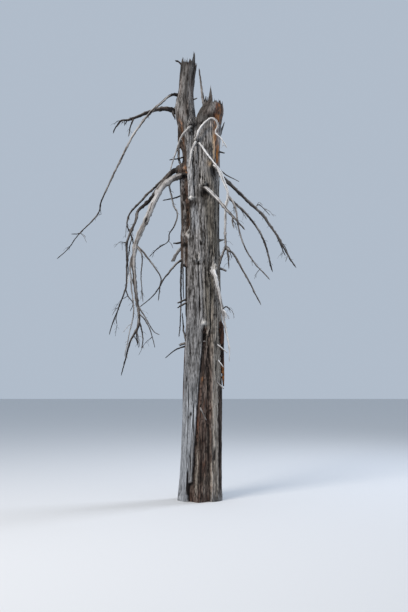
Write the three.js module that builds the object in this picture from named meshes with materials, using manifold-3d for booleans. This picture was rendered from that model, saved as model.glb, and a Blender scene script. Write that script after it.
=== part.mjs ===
// A weathered dead spruce that still stands: a stout trunk, forked high up into two broken leaders,
// with splinters, a peeling plate, drooping grey boughs and bare twigs.
// Millimetres. +X is to the right and +Y away from the viewer of the tree's front, and +Z is up.
// The origin is in the middle of the flat cut at the ground. A turn is an angle round the trunk in
// degrees: 0 faces the viewer, 90 the right-hand side and -90 the left.
import * as THREE from "three";
import { mergeVertices } from "three/addons/utils/BufferGeometryUtils.js";
import Module from "manifold-3d";

const wasm = await Module();
wasm.setup();

// The clearance between two pieces that meet.
const GAP = 0.3;
// The trunk ends in a flat cut at the fork, where the two leaders stand on it.
const FORK_HEIGHT = 4980;
// The trunk's left and right edges, seen from the front.
const TRUNK_EDGES = [
  { z: 0, left: -275, right: 272 },
  { z: 450, left: -250, right: 260 },
  { z: 1700, left: -214, right: 258 },
  { z: 2600, left: -177, right: 250 },
  { z: 4480, left: -216, right: 248 },
  { z: FORK_HEIGHT, left: -321, right: 289 },
];
// Two stems grew into one: below the fork their round sections merge over this height.
const MERGE_HEIGHT = 1580;
const LEFT_STEM_RADIUS = 131;
const RIGHT_STEM_RADIUS = 169;
const NECK_X = -54;
const NECK_DEPTH = 85;
const VALLEY_SOFTNESS = 30;
// Depth from front to back, as a share of the width, at the ground and at the fork.
const DEPTH_SHARE = { ground: 0.95, fork: 1.15 };
// Slow flutes round the trunk: how many there are, how deep, their first turn and their twist.
const FLUTES = [
  { count: 3, depth: 7, start: 30, pitch: 9000 },
  { count: 5, depth: 5, start: 0, pitch: -6500 },
  { count: 8, depth: 3.5, start: 60, pitch: 14000 },
];
// Broad ribs run up the trunk with narrow grooves between them. A groove's turn wanders by two slow
// waves as it rises, and the ribs fade out over the last stretch below the fork.
const RIBS = {
  count: 8,
  depth: 9,
  start: 25,
  waves: [
    { turn: 4, pitch: 7000 },
    { turn: 1.5, pitch: 1300 },
  ],
  fade: 400,
};
// The root flare opens into buttresses near the ground.
const FLARE = { height: 380, depth: 18, buttresses: 5, start: 20 };
// A strip of sapwood stands proud of the left side and breaks off in a ledge at its lower end.
const SHELL = { low: 3050, high: 4360, from: -118, to: -72, thickness: 58, jag: 45, jagTurn: 4 };
// A dark rotten trough runs down beside the strip.
const TROUGH = { low: 3440, high: 4290, from: -72, to: -48, depth: 30 };
// A raised rib of wood that ends in a ledge.
const RIB = { low: 3860, high: 4400, from: -46, to: -22, depth: 22 };
// The rotten recess in the lower front, whose sides slant across the trunk.
const RECESS = { top: 2170, lowLeft: -28, highLeft: 1, lowRight: 35, highRight: 27, depth: 42, bend: 1.4 };
// A split in the wood above the recess.
const SPLIT = { low: 1850, high: 2850, from: 26, to: 36, depth: 16 };
// The softness of such a strip's sides, in degrees, and of its ends.
const STRIP_SIDE = 5;
const STRIP_END = 40;
// Knots and bosses stand out, and hollows (a negative lift) sink in. A boss rises slowly from
// above and ends abruptly below.
const KNOTS = [
  { turn: -88, z: 4265, lift: 42, wide: 85, tall: 100 },
  { turn: -90, z: 4640, lift: 34, wide: 95, tall: 170 },
  { turn: -24, z: 4865, lift: 40, wide: 42, tall: 60 },
  { turn: 8, z: 4668, lift: 30, wide: 36, tall: 45 },
  { turn: 55, z: 4250, lift: -34, wide: 45, tall: 85 },
  { turn: 18, z: 3945, lift: -38, wide: 42, tall: 55 },
  { turn: 15, z: 4060, lift: 24, wide: 40, tall: 60 },
  { turn: -64, z: 3420, lift: 36, wide: 45, tall: 75 },
  { turn: -4, z: 3350, lift: 14, wide: 40, tall: 60 },
  { turn: -20, z: 3090, lift: 22, wide: 55, tall: 80 },
  { turn: 37, z: 2960, lift: 46, wide: 48, tall: 110 },
  { turn: 4, z: 2250, lift: 20, wide: 34, tall: 34 },
  { turn: 6, z: 2095, lift: -34, wide: 34, tall: 85 },
  { turn: 150, z: 4330, lift: 34, wide: 60, tall: 90 },
  { turn: -160, z: 4790, lift: 30, wide: 55, tall: 80 },
  { turn: 135, z: 3600, lift: 34, wide: 55, tall: 90 },
  { turn: -165, z: 2890, lift: 34, wide: 55, tall: 90 },
  { turn: 100, z: 2300, lift: 16, wide: 60, tall: 90 },
  { turn: -120, z: 1500, lift: 16, wide: 60, tall: 100 },
];
const BOSS_UNDERSIDE = 0.4;
const TRUNK_COLUMNS = 42;
const TRUNK_ROWS = 46;

// The two leaders. Their tops are broken: a rim with spikes round a sunken middle.
const LEADERS = [
  {
    name: "left_leader",
    edges: [
      { z: FORK_HEIGHT, left: -321, right: -60 },
      { z: 5120, left: -334, right: -76 },
      { z: 5370, left: -290, right: -90 },
      { z: 5740, left: -256, right: -44 },
    ],
    rim: 5735,
    hollow: 110,
    jag: 22,
    stubs: [
      { points: [[-215, -10, 5680], [-282, -15, 5752], [-326, -15, 5764]], radii: [17, 9] },
      { points: [[-110, -20, 5225], [-47, -25, 5250]], radii: [12, 7] },
    ],
    spikes: [
      { turn: 37.5, rise: 145, wide: 16 },
      { turn: -52.5, rise: 75, wide: 14 },
      { turn: 82, rise: -60, wide: 22 },
      { turn: 170, rise: 60, wide: 25 },
    ],
  },
  {
    name: "right_leader",
    edges: [
      { z: FORK_HEIGHT, left: -48, right: 289 },
      { z: 5090, left: -10, right: 308 },
      { z: 5195, left: 50, right: 296 },
      { z: 5420, left: 66, right: 284 },
    ],
    rim: 5185,
    hollow: 90,
    jag: 20,
    stubs: [],
    spikes: [
      { turn: -20, rise: 218, wide: 20 },
      { turn: -62, rise: 70, wide: 24 },
      { turn: 68, rise: 25, wide: 14 },
      { turn: -150, rise: 45, wide: 25 },
    ],
  },
];
const LEADER_COLUMNS = 24;
const LEADER_FIRST_TURN = 7.5;
const LEADER_ROWS = 8;
const LEADER_DEPTH = 1.05;
const LEADER_WALL = 0.3;
// The lengths of the two waves that make the rim jagged, in degrees for each radian.
const JAG_TURNS = [9, 23];

// The reddish plate of wood that peels off the trunk's right side.
const PLATE = { low: 1450, high: 2310, from: 66, to: 98, thickness: 40, sunk: 6, lift: 22 };

// How the limbs are made: sides and steps of their tubes, and the swelling where they leave the wood.
const BOUGH_SIDES = 7;
const BOUGH_STEPS = 3;
const STEM_SIDES = 5;
const FORK_STEPS = 2;
const STUB_STEPS = 2;
const TWIG_SIDES = 3;
const TWIG_STEPS = 2;
const COLLAR = { swell: 0.45, length: 70 };
const KNOT_SWELL = { share: 0.22, every: 210, length: 26 };
const CLEARANCE = 14;
// A twig may touch its own mass this near its root, in radii of its carrier.
const ROOT_ZONE = 3;
// The side that a limb's section is turned to at its root.
const FIRST_SIDE = new THREE.Vector3(0, 1, 0.1);
// How far the finer twigs may reach past the box of their mass's stem and forks.
const SPACE_MARGIN = new THREE.Vector3(35, 260, 20);

// Short broken stubs that are one piece with the trunk, from inside the wood to the tip.
const TRUNK_STUBS = [
  { points: [[190, -30, 4540], [318, -40, 4508]], radii: [14, 8] },
  { points: [[190, -60, 4330], [316, -40, 4233], [507, -20, 4132]], radii: [10, 4] },
  { points: [[200, 0, 3350], [312, 0, 3362]], radii: [17, 9] },
  { points: [[200, -20, 3000], [338, -20, 2950]], radii: [18, 12] },
  { points: [[200, -100, 2000], [345, -160, 1878]], radii: [12, 6] },
  { points: [[190, -90, 1830], [298, -120, 1695]], radii: [12, 6] },
  { points: [[180, -100, 1530], [298, -150, 1425]], radii: [13, 7] },
  { points: [[0, -110, 1260], [76, -262, 1030]], radii: [15, 9] },
  { points: [[-120, -20, 2600], [-288, -42, 2528]], radii: [17, 9] },
  { points: [[-120, -50, 2560], [-290, -75, 2462]], radii: [16, 8] },
  { points: [[-140, 20, 2020], [-262, 25, 1982]], radii: [19, 13] },
  { points: [[-140, 60, 1980], [-300, 80, 1930], [-455, 100, 1818]], radii: [12, 5] },
  { points: [[-160, -20, 4490], [-285, -60, 4430], [-400, -70, 4408]], radii: [11, 6] },
  { points: [[-190, 30, 3985], [-360, 60, 3925], [-490, 70, 3900]], radii: [12, 6] },
  { points: [[-190, -40, 3330], [-345, -60, 3305]], radii: [16, 9] },
  { points: [[-190, 30, 3330], [-300, 40, 3200], [-356, 60, 3095]], radii: [15, 21] },
  { points: [[60, 180, 1900], [80, 340, 1850]], radii: [18, 11] },
  { points: [[-90, 180, 3900], [-150, 330, 3880]], radii: [20, 12] },
];

// Thin splinters, from the wood they are split from to their tip. `on` names that wood.
const SPLINTERS = [
  {
    name: "fork_splinter",
    on: "right_leader",
    points: [[75, -30, 5060], [48, -55, 5165], [12, -62, 5420], [-16, -60, 5650]],
    radii: [24, 6],
  },
  {
    name: "right_splinter",
    on: "trunk",
    points: [[235, -10, 4690], [272, -10, 4790], [322, -10, 4937]],
    radii: [17, 6],
  },
  {
    name: "left_splinter",
    on: "trunk",
    points: [[-262, -15, 4640], [-284, -20, 4560], [-281, -30, 4440], [-262, -38, 4365], [-235, -42, 4325]],
    radii: [14, 14],
  },
  {
    name: "hanging_splinter",
    on: "trunk",
    points: [[-205, 55, 3150], [-246, 52, 3010], [-252, 40, 2570], [-262, 30, 2240], [-276, 25, 2085]],
    radii: [13, 6],
  },
  {
    name: "short_splinter",
    on: "trunk",
    points: [[-195, -45, 3150], [-222, -50, 3010], [-214, -65, 2570]],
    radii: [10, 5],
  },
  {
    name: "standing_splinter",
    on: "trunk",
    points: [[-160, -50, 1960], [-200, -55, 2080], [-220, -50, 2250], [-232, -45, 2405]],
    radii: [15, 5],
  },
];

// The boughs. Each follows its turning points from inside the wood it grew on. `split` is the
// point where the bough ends and its twigs begin, and `radii` are those at the root, the split and
// the tip. A fork leaves the stem of the twigs at height `at`. Without a split the bough is one
// limb to its tip. `twigs` says how many finer twigs the seeded rule tries, and how long they are.
const BOUGHS = [
  {
    name: "high_long",
    on: "left_leader",
    points: [
      [-230, -10, 5290], [-370, -90, 5275], [-485, -150, 5175], [-650, -220, 4985], [-805, -270, 4775],
      [-940, -300, 4520], [-1130, -320, 4110], [-1265, -330, 3795], [-1285, -330, 3680],
      [-1365, -330, 3565], [-1530, -320, 3400], [-1700, -290, 3185], [-1830, -270, 3070],
    ],
    split: 7,
    radii: [16, 8.5, 4],
    forks: [{ at: 3435, points: [[-1530, -335, 3392], [-1635, -380, 3375]], radii: [6, 4] }],
    twigs: { count: 4, length: 150 },
  },
  {
    name: "high_short",
    on: "left_leader",
    points: [
      [-230, 0, 5060], [-405, 30, 5115], [-565, 70, 5130], [-740, 110, 5085], [-850, 130, 5045],
      [-985, 160, 5010], [-1070, 190, 5010], [-1130, 210, 4950], [-1180, 230, 4845],
    ],
    split: 4,
    radii: [32, 17, 6],
    forks: [{ at: 5040, points: [[-940, 110, 4890], [-960, 90, 4760]], radii: [11, 5] }],
    twigs: { count: 4, length: 130 },
  },
  {
    name: "fork_limb",
    on: "trunk",
    points: [
      [-70, -60, 4880], [-160, -215, 4780], [-260, -290, 4625], [-310, -310, 4450], [-365, -320, 4265],
      [-385, -320, 4190],
    ],
    radii: [19, 10, 6],
  },
  {
    name: "left_outer",
    on: "trunk",
    points: [
      [-190, 30, 4290], [-375, 70, 4280], [-510, 120, 4130], [-675, 190, 3935], [-770, 230, 3855],
      [-840, 250, 3790], [-865, 260, 3670], [-945, 280, 3485], [-985, 300, 3365], [-985, 320, 3135],
      [-1005, 330, 2760], [-1095, 370, 2505], [-1180, 400, 2290], [-1230, 420, 2130],
    ],
    split: 5,
    radii: [32, 18, 5],
    forks: [
      { at: 3385, points: [[-1055, 315, 3378]], radii: [8, 5] },
      { at: 2790, points: [[-970, 300, 2650], [-900, 255, 2550], [-935, 280, 2440]], radii: [8, 4] },
      { at: 2505, points: [[-1130, 340, 2355], [-1115, 330, 2260]], radii: [6, 4] },
    ],
    twigs: { count: 7, length: 240 },
  },
  {
    name: "left_main",
    on: "trunk",
    points: [
      [-170, -45, 4225], [-340, -110, 4160], [-495, -190, 4010], [-605, -290, 3765], [-710, -370, 3505],
      [-795, -420, 3295], [-830, -450, 3085], [-825, -470, 2845], [-785, -480, 2530], [-762, -480, 2305],
      [-770, -485, 2190], [-860, -450, 2030], [-935, -420, 1780], [-985, -400, 1585],
    ],
    split: 5,
    radii: [38, 27, 6],
    forks: [
      {
        at: 3250,
        points: [
          [-715, -470, 3135], [-600, -530, 2985], [-485, -570, 2795], [-495, -590, 2695], [-515, -600, 2505],
        ],
        radii: [12, 5],
      },
      { at: 3225, points: [[-722, -500, 3080], [-735, -520, 2840], [-705, -560, 2495]], radii: [9, 4] },
      {
        at: 3150,
        points: [
          [-872, -385, 3045], [-872, -330, 2730], [-842, -290, 2390], [-905, -240, 2100], [-960, -210, 1825],
        ],
        radii: [11, 5],
      },
      { at: 2420, points: [[-655, -560, 2275], [-565, -610, 2125], [-490, -640, 2085]], radii: [9, 4] },
      { at: 2400, points: [[-640, -580, 2215], [-585, -640, 2060], [-550, -650, 1925]], radii: [8, 4] },
      { at: 2300, points: [[-780, -510, 2115], [-765, -530, 1965]], radii: [14, 6] },
      { at: 2290, points: [[-705, -525, 2055], [-720, -545, 1915]], radii: [10, 5] },
    ],
    twigs: { count: 9, length: 230 },
  },
  {
    name: "left_back",
    on: "trunk",
    points: [
      [-170, 80, 4330], [-405, 190, 4280], [-615, 330, 4135], [-785, 440, 3995], [-955, 540, 3830],
      [-1015, 570, 3670], [-945, 590, 3490], [-915, 600, 3320], [-930, 620, 3050], [-900, 640, 2800],
    ],
    split: 4,
    radii: [19, 11, 4],
    forks: [
      { at: 3500, points: [[-985, 650, 3350], [-1010, 720, 3180], [-1000, 760, 2960]], radii: [7, 4] },
    ],
    twigs: { count: 7, length: 240 },
  },
  {
    name: "left_hanging",
    on: "trunk",
    points: [
      [-110, 60, 4190], [-290, 25, 4195], [-380, -25, 4155], [-405, -65, 4080], [-385, -90, 3968],
      [-354, -110, 3812], [-300, -120, 3703], [-321, -130, 3550], [-396, -140, 3413], [-411, -150, 3321],
      [-558, -160, 3214], [-662, -170, 3107],
    ],
    split: 6,
    radii: [13, 9, 4],
    forks: [],
    twigs: { count: 4, length: 130 },
  },
  {
    name: "left_low",
    on: "trunk",
    points: [
      [-160, 30, 3140], [-300, -50, 3050], [-455, -120, 2845], [-595, -170, 2620], [-770, -220, 2460],
    ],
    radii: [15, 9, 4],
  },
  {
    name: "arch",
    on: "trunk",
    points: [
      [-52, -80, 4640], [-48, -215, 4650], [-10, -262, 4756], [65, -285, 4850], [145, -300, 4900],
      [205, -295, 4870], [228, -290, 4800], [200, -275, 4712], [255, -290, 4655], [305, -310, 4580],
      [345, -320, 4500],
    ],
    split: 7,
    radii: [15, 10, 4],
    forks: [{ at: 4600, points: [[295, -320, 4520]], radii: [6, 4] }],
    twigs: { count: 0, length: 60 },
  },
  {
    name: "face_limb",
    on: "trunk",
    points: [
      [-90, -80, 4525], [-70, -222, 4585], [-103, -256, 4512], [-118, -272, 4400], [-134, -283, 4275],
      [-146, -285, 4165], [-150, -285, 4085],
    ],
    radii: [13, 14, 11],
  },
  {
    name: "crossing_limb",
    on: "trunk",
    points: [
      [0, -80, 4590], [-10, -222, 4592], [56, -268, 4483], [155, -312, 4343], [219, -335, 4247],
      [250, -362, 4150], [290, -385, 4047], [320, -400, 3965],
    ],
    radii: [11, 9, 5],
  },
  {
    name: "right_outer",
    on: "trunk",
    points: [
      [150, 20, 4330], [305, 40, 4198], [530, 130, 4010], [680, 200, 3875], [830, 260, 3750],
      [955, 310, 3595], [1060, 350, 3440], [1150, 390, 3280], [1305, 450, 3045],
    ],
    split: 3,
    radii: [24, 19, 9],
    forks: [
      { at: 3840, points: [[790, 270, 3880], [945, 330, 3745]], radii: [7, 4] },
      { at: 3620, points: [[990, 345, 3590]], radii: [10, 6] },
      { at: 3500, points: [[1095, 520, 3380], [1180, 640, 3235]], radii: [9, 5] },
    ],
    twigs: { count: 6, length: 220 },
  },
  {
    name: "right_white",
    on: "trunk",
    points: [
      [140, -40, 4340], [215, -215, 4280], [272, -272, 4171], [310, -300, 4063], [350, -325, 3945],
      [358, -332, 3850], [328, -340, 3700], [322, -348, 3480], [322, -352, 3310], [340, -360, 3195],
      [415, -370, 3130], [565, -400, 2865], [765, -430, 2470],
    ],
    split: 4,
    radii: [20, 17, 7],
    forks: [
      {
        at: 3880,
        points: [[430, -390, 3760], [515, -500, 3305], [635, -560, 3045], [865, -620, 2765]],
        radii: [13, 6],
      },
      {
        at: 3830,
        points: [[540, -260, 3705], [745, -180, 3475], [855, -130, 3245], [940, -90, 2925]],
        radii: [16, 9],
      },
      { at: 3215, points: [[275, -345, 3095], [232, -335, 2950]], radii: [14, 10] },
      { at: 3205, points: [[358, -395, 3070], [362, -415, 2925]], radii: [10, 5] },
    ],
    twigs: { count: 9, length: 220 },
  },
  {
    name: "right_front",
    on: "trunk",
    points: [
      [30, -130, 3995], [75, -250, 3990], [125, -310, 3940], [185, -355, 3862], [258, -400, 3783],
      [352, -470, 3648], [438, -520, 3543], [505, -560, 3465], [560, -590, 3392],
    ],
    split: 5,
    radii: [21, 18, 5],
    forks: [{ at: 3570, points: [[410, -540, 3490], [425, -575, 3410]], radii: [12, 6] }],
    twigs: { count: 6, length: 170 },
  },
  {
    name: "right_low",
    on: "trunk",
    points: [
      [130, -90, 3000], [188, -245, 2850], [240, -300, 2635], [265, -320, 2505], [315, -330, 2225],
      [365, -340, 1970], [370, -350, 1760],
    ],
    split: 3,
    radii: [36, 20, 5],
    forks: [
      { at: 2480, points: [[315, -350, 2390], [340, -365, 2285]], radii: [12, 8] },
      { at: 2490, points: [[330, -345, 2455], [392, -365, 2410]], radii: [9, 7] },
    ],
    twigs: { count: 5, length: 170 },
  },
  {
    name: "back_high",
    on: "trunk",
    points: [
      [-130, 60, 4780], [-150, 330, 4860], [-135, 600, 4780], [-110, 830, 4520], [-90, 960, 4180],
      [-70, 1010, 3800],
    ],
    split: 3,
    radii: [28, 17, 5],
    forks: [{ at: 4350, points: [[-140, 1040, 4180], [-150, 1140, 3940]], radii: [10, 5] }],
    twigs: { count: 8, length: 240 },
  },
  {
    name: "back_main",
    on: "trunk",
    points: [
      [50, 120, 4300], [90, 420, 4370], [110, 760, 4210], [80, 1050, 3830], [50, 1180, 3440],
      [30, 1200, 3050], [60, 1170, 2700],
    ],
    split: 3,
    radii: [34, 21, 5],
    forks: [
      { at: 3600, points: [[120, 1260, 3400], [150, 1330, 3120]], radii: [11, 5] },
      { at: 3300, points: [[-20, 1120, 3080], [-60, 1040, 2800]], radii: [9, 4] },
    ],
    twigs: { count: 8, length: 240 },
  },
  {
    name: "back_right",
    on: "trunk",
    points: [
      [120, 100, 3590], [190, 360, 3640], [190, 620, 3510], [170, 830, 3180], [150, 900, 2850],
      [160, 900, 2500],
    ],
    split: 3,
    radii: [26, 16, 5],
    forks: [{ at: 2960, points: [[110, 970, 2800], [90, 1000, 2560]], radii: [8, 4] }],
    twigs: { count: 8, length: 220 },
  },
  {
    name: "back_low",
    on: "trunk",
    points: [
      [-30, 90, 2880], [-80, 370, 2920], [-90, 600, 2780], [-80, 740, 2480], [-70, 780, 2180],
      [-60, 760, 1900],
    ],
    split: 3,
    radii: [26, 15, 5],
    forks: [{ at: 2280, points: [[-20, 830, 2120], [10, 850, 1920]], radii: [8, 4] }],
    twigs: { count: 6, length: 210 },
  },
];
// The seeded rule of the finer twigs: each leaves its carrier sideways, mostly towards the front or
// back, bends at a share of its length and droops. Crowding puts more of them on the stem.
const TWIG_RULE = {
  turn: 137.508,
  depthBias: 2.2,
  lift: 0.2,
  forward: 0.55,
  droop: 0.85,
  sag: 0.06,
  bendAt: 0.4,
  places: [0.12, 0.98],
  lengths: [0.6, 1.3],
  crowding: 1.5,
  radiusShare: 0.5,
  radiusLeast: 3.6,
  tipShare: 0.5,
};
// Each mass draws its seeds from a hundred of its own, and each choice shifts the seed.
const SEEDS_PER_MASS = 100;
const DRAW = { lift: 0.3, place: 0.5, length: 0.7 };
const CHANCE_STEP = 12.9898;
const CHANCE_SCALE = 43758.5453;

const COLOURS = {
  wood: 0x6f6c69,
  leader: 0x615d5a,
  plate: 0x6e4531,
  splinter: 0x5a514b,
  bough: 0x827d78,
  twig: 0x8b8680,
};
const ROUGHNESS = 0.92;
// Vertices this near are one vertex.
const MERGE_DISTANCE = 1e-4;

function mix(a, b, share) {
  return a + (b - a) * share;
}

// 0 below `low`, 1 above `high`, and a smooth step between them.
function ease(low, high, value) {
  const share = Math.min(1, Math.max(0, (value - low) / (high - low)));
  return share * share * (3 - 2 * share);
}

// 1 between `low` and `high` with sides of the given softness, and 0 outside.
function band(low, high, softness, value) {
  return ease(low - softness, low + softness, value) * (1 - ease(high - softness, high + softness, value));
}

// A number from 0 to 1 that depends only on n: the fraction of a large multiple of a sine.
function chance(n) {
  const value = Math.sin(n * CHANCE_STEP) * CHANCE_SCALE;
  return value - Math.floor(value);
}

// A smooth curve through the stations' values, with slopes from their neighbours.
function along(stations, key, z) {
  const last = stations.length - 1;
  const index = Math.min(last - 1, Math.max(0, stations.findIndex((one) => one.z > z) - 1));
  const start = z >= stations[last].z ? last - 1 : index;
  const slope = (i) => {
    const low = stations[Math.max(0, i - 1)];
    const high = stations[Math.min(last, i + 1)];
    return (high[key] - low[key]) / (high.z - low.z);
  };
  const a = stations[start];
  const b = stations[start + 1];
  const span = b.z - a.z;
  const t = (z - a.z) / span;
  const hill = t * t * (3 - 2 * t);
  const leaving = t * (1 - t) * (1 - t) * span * slope(start);
  const arriving = -t * t * (1 - t) * span * slope(start + 1);
  return mix(a[key], b[key], hill) + leaving + arriving;
}

// How far a circle reaches along a turn, from a middle that lies `offset` to its left.
function circleReach(turn, offset, radius) {
  const across = offset * Math.cos(turn);
  return offset * Math.sin(turn) + Math.sqrt(Math.max(0, radius * radius - across * across));
}

// The larger of two values, with the corner between them rounded.
function softMax(a, b, softness) {
  const overlap = Math.max(0, softness - Math.abs(a - b));
  return Math.max(a, b) + (softness > 0 ? (overlap * overlap) / (4 * softness) : 0);
}

// The trunk's section at a height: its middle, its two stems and its depth share.
function section(z) {
  const left = along(TRUNK_EDGES, "left", z);
  const right = along(TRUNK_EDGES, "right", z);
  const forked = ease(FORK_HEIGHT - MERGE_HEIGHT, FORK_HEIGHT, z);
  const half = (right - left) / 2;
  const leftRadius = mix(half, LEFT_STEM_RADIUS, forked);
  const rightRadius = mix(half, RIGHT_STEM_RADIUS, forked);
  const middle = mix((left + right) / 2, NECK_X, forked);
  return {
    forked,
    middle,
    leftRadius,
    rightRadius,
    leftOffset: left + leftRadius - middle,
    rightOffset: right - rightRadius - middle,
    depth: mix(DEPTH_SHARE.ground, DEPTH_SHARE.fork, forked),
  };
}

// The same turn between -180 and 180 degrees.
function wrapped(degrees) {
  return (((degrees % 360) + 540) % 360) - 180;
}

// 1 inside a strip of the trunk's side and 0 outside it.
function strip(place, degrees, z) {
  return band(place.from, place.to, STRIP_SIDE, degrees) * band(place.low, place.high, STRIP_END, z);
}

// What the strips, the trough and the recess add to the radius. The turn is in degrees.
function stripLift(degrees, z) {
  const ledge = SHELL.low + SHELL.jag * Math.sin(degrees / SHELL.jagTurn);
  const shell = strip({ ...SHELL, low: ledge }, degrees, z);
  const left = mix(RECESS.lowLeft, RECESS.highLeft, (z / RECESS.top) ** RECESS.bend);
  const right = mix(RECESS.lowRight, RECESS.highRight, z / RECESS.top);
  const open = 1 - ease(RECESS.top - 2 * STRIP_END, RECESS.top, z);
  const recess = band(left, right, STRIP_SIDE, degrees) * open;
  const raised = SHELL.thickness * shell + RIB.depth * strip(RIB, degrees, z);
  const sunk = TROUGH.depth * strip(TROUGH, degrees, z) + SPLIT.depth * strip(SPLIT, degrees, z);
  return raised - sunk - RECESS.depth * recess;
}

// What the ribs add to the radius: rounded between the grooves, which lie where the sine is 0.
function ribLift(degrees, z) {
  const sway = (wave) => wave.turn * Math.sin((2 * Math.PI * z) / wave.pitch);
  const groove = RIBS.waves.reduce((turn, wave) => turn + sway(wave), RIBS.start);
  const round = Math.abs(Math.sin((RIBS.count * THREE.MathUtils.degToRad(degrees - groove)) / 2));
  return RIBS.depth * (2 * round - 1) * (1 - ease(FORK_HEIGHT - RIBS.fade, FORK_HEIGHT, z));
}

// What the knots and hollows add to a radius of about `reach`.
function knotLift(degrees, z, reach) {
  let lift = 0;
  for (const knot of KNOTS) {
    const apart = wrapped(degrees - knot.turn);
    const across = (THREE.MathUtils.degToRad(apart) * reach) / knot.wide;
    const tall = z < knot.z && knot.lift > 0 ? knot.tall * BOSS_UNDERSIDE : knot.tall;
    const up = (z - knot.z) / tall;
    lift += knot.lift * Math.exp(-across * across - up * up);
  }
  return lift;
}

// The trunk's radius from its section's middle.
function trunkRadius(degrees, z) {
  const turn = THREE.MathUtils.degToRad(degrees);
  const cut = section(z);
  const leftReach = circleReach(turn, cut.leftOffset, cut.leftRadius);
  const rightReach = circleReach(turn, cut.rightOffset, cut.rightRadius);
  const stems = softMax(leftReach, rightReach, VALLEY_SOFTNESS * cut.forked);
  let reach = Math.max(stems, NECK_DEPTH * cut.forked);
  for (const flute of FLUTES) {
    const twist = THREE.MathUtils.degToRad(flute.start) + (2 * Math.PI * z) / flute.pitch;
    reach += flute.depth * (1 - cut.forked) * Math.cos(flute.count * turn + twist);
  }
  const low = Math.max(0, 1 - z / FLARE.height);
  const buttress = Math.cos(FLARE.buttresses * turn + THREE.MathUtils.degToRad(FLARE.start));
  reach += FLARE.depth * low * low * buttress + ribLift(degrees, z);
  return reach + stripLift(wrapped(degrees), z) + knotLift(degrees, z, reach);
}

// A point of the trunk's surface, lifted off it by `lift`.
function trunkPoint(degrees, z, lift = 0) {
  const turn = THREE.MathUtils.degToRad(degrees);
  const cut = section(z);
  const reach = trunkRadius(degrees, z) + lift;
  return new THREE.Vector3(cut.middle + reach * Math.sin(turn), -reach * Math.cos(turn) * cut.depth, z);
}

// Turns a grid of points, rows of equal length that close on themselves, into one closed skin.
// The first and last rows are closed by a fan round the points `first` and `last`.
function closedSkin(rows, first, last) {
  const columns = rows[0].length;
  const points = rows.flat();
  points.push(first, last);
  const index = [];
  for (let j = 0; j + 1 < rows.length; j++) {
    for (let i = 0; i < columns; i++) {
      const next = (i + 1) % columns;
      const a = j * columns + i;
      const b = j * columns + next;
      const c = a + columns;
      const d = b + columns;
      index.push(a, b, d, a, d, c);
    }
  }
  const top = (rows.length - 1) * columns;
  for (let i = 0; i < columns; i++) {
    const next = (i + 1) % columns;
    index.push(points.length - 2, next, i);
    index.push(points.length - 1, top + i, top + next);
  }
  const geometry = new THREE.BufferGeometry().setFromPoints(points);
  geometry.setIndex(index);
  return geometry;
}

function solidOf(geometry) {
  const bare = geometry.clone();
  bare.deleteAttribute("normal");
  bare.deleteAttribute("uv");
  const merged = mergeVertices(bare, MERGE_DISTANCE);
  return new wasm.Manifold(
    new wasm.Mesh({
      numProp: 3,
      vertProperties: new Float32Array(merged.attributes.position.array),
      triVerts: new Uint32Array(merged.index.array),
    }),
  );
}

// The largest of the bodies that a cut leaves.
function largest(solid) {
  const bodies = solid.decompose();
  return bodies.reduce((best, one) => (one.volume() > best.volume() ? one : best));
}

function geometryOf(solid) {
  const mesh = solid.getMesh();
  const positions = new Float32Array(mesh.numVert * 3);
  for (let i = 0; i < mesh.numVert; i++)
    positions.set(mesh.vertProperties.subarray(i * mesh.numProp, i * mesh.numProp + 3), i * 3);
  const geometry = new THREE.BufferGeometry();
  geometry.setAttribute("position", new THREE.BufferAttribute(positions, 3));
  geometry.setIndex(new THREE.BufferAttribute(new Uint32Array(mesh.triVerts), 1));
  return geometry;
}

// The trunk's skin, grown by `lift` where it serves to cut the limbs that stand on it.
function trunkSkin(lift) {
  const rows = [];
  for (let j = 0; j <= TRUNK_ROWS; j++) {
    const z = (FORK_HEIGHT * j) / TRUNK_ROWS;
    const row = [];
    for (let i = 0; i < TRUNK_COLUMNS; i++) row.push(trunkPoint((360 * i) / TRUNK_COLUMNS, z, lift));
    rows.push(row);
  }
  const first = new THREE.Vector3(section(0).middle, 0, 0);
  const last = new THREE.Vector3(section(FORK_HEIGHT).middle, 0, FORK_HEIGHT);
  return closedSkin(rows, first, last);
}

// The height of a leader's broken rim at a turn: its plain height, its spikes and a jagged wave.
function rimHeight(leader, degrees) {
  const wave = Math.sin(degrees / JAG_TURNS[0]) * Math.cos(degrees / JAG_TURNS[1]);
  let height = leader.rim + leader.jag * wave;
  for (const spike of leader.spikes) {
    const apart = wrapped(degrees - spike.turn);
    height += spike.rise * Math.max(0, 1 - Math.abs(apart) / spike.wide);
  }
  return height;
}

function leaderPoint(leader, degrees, z, share, lift) {
  const turn = THREE.MathUtils.degToRad(degrees);
  const left = along(leader.edges, "left", z);
  const right = along(leader.edges, "right", z);
  const reach = ((right - left) / 2 + lift) * share;
  const x = (left + right) / 2 + reach * Math.sin(turn);
  return new THREE.Vector3(x, -reach * Math.cos(turn) * LEADER_DEPTH, z);
}

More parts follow.
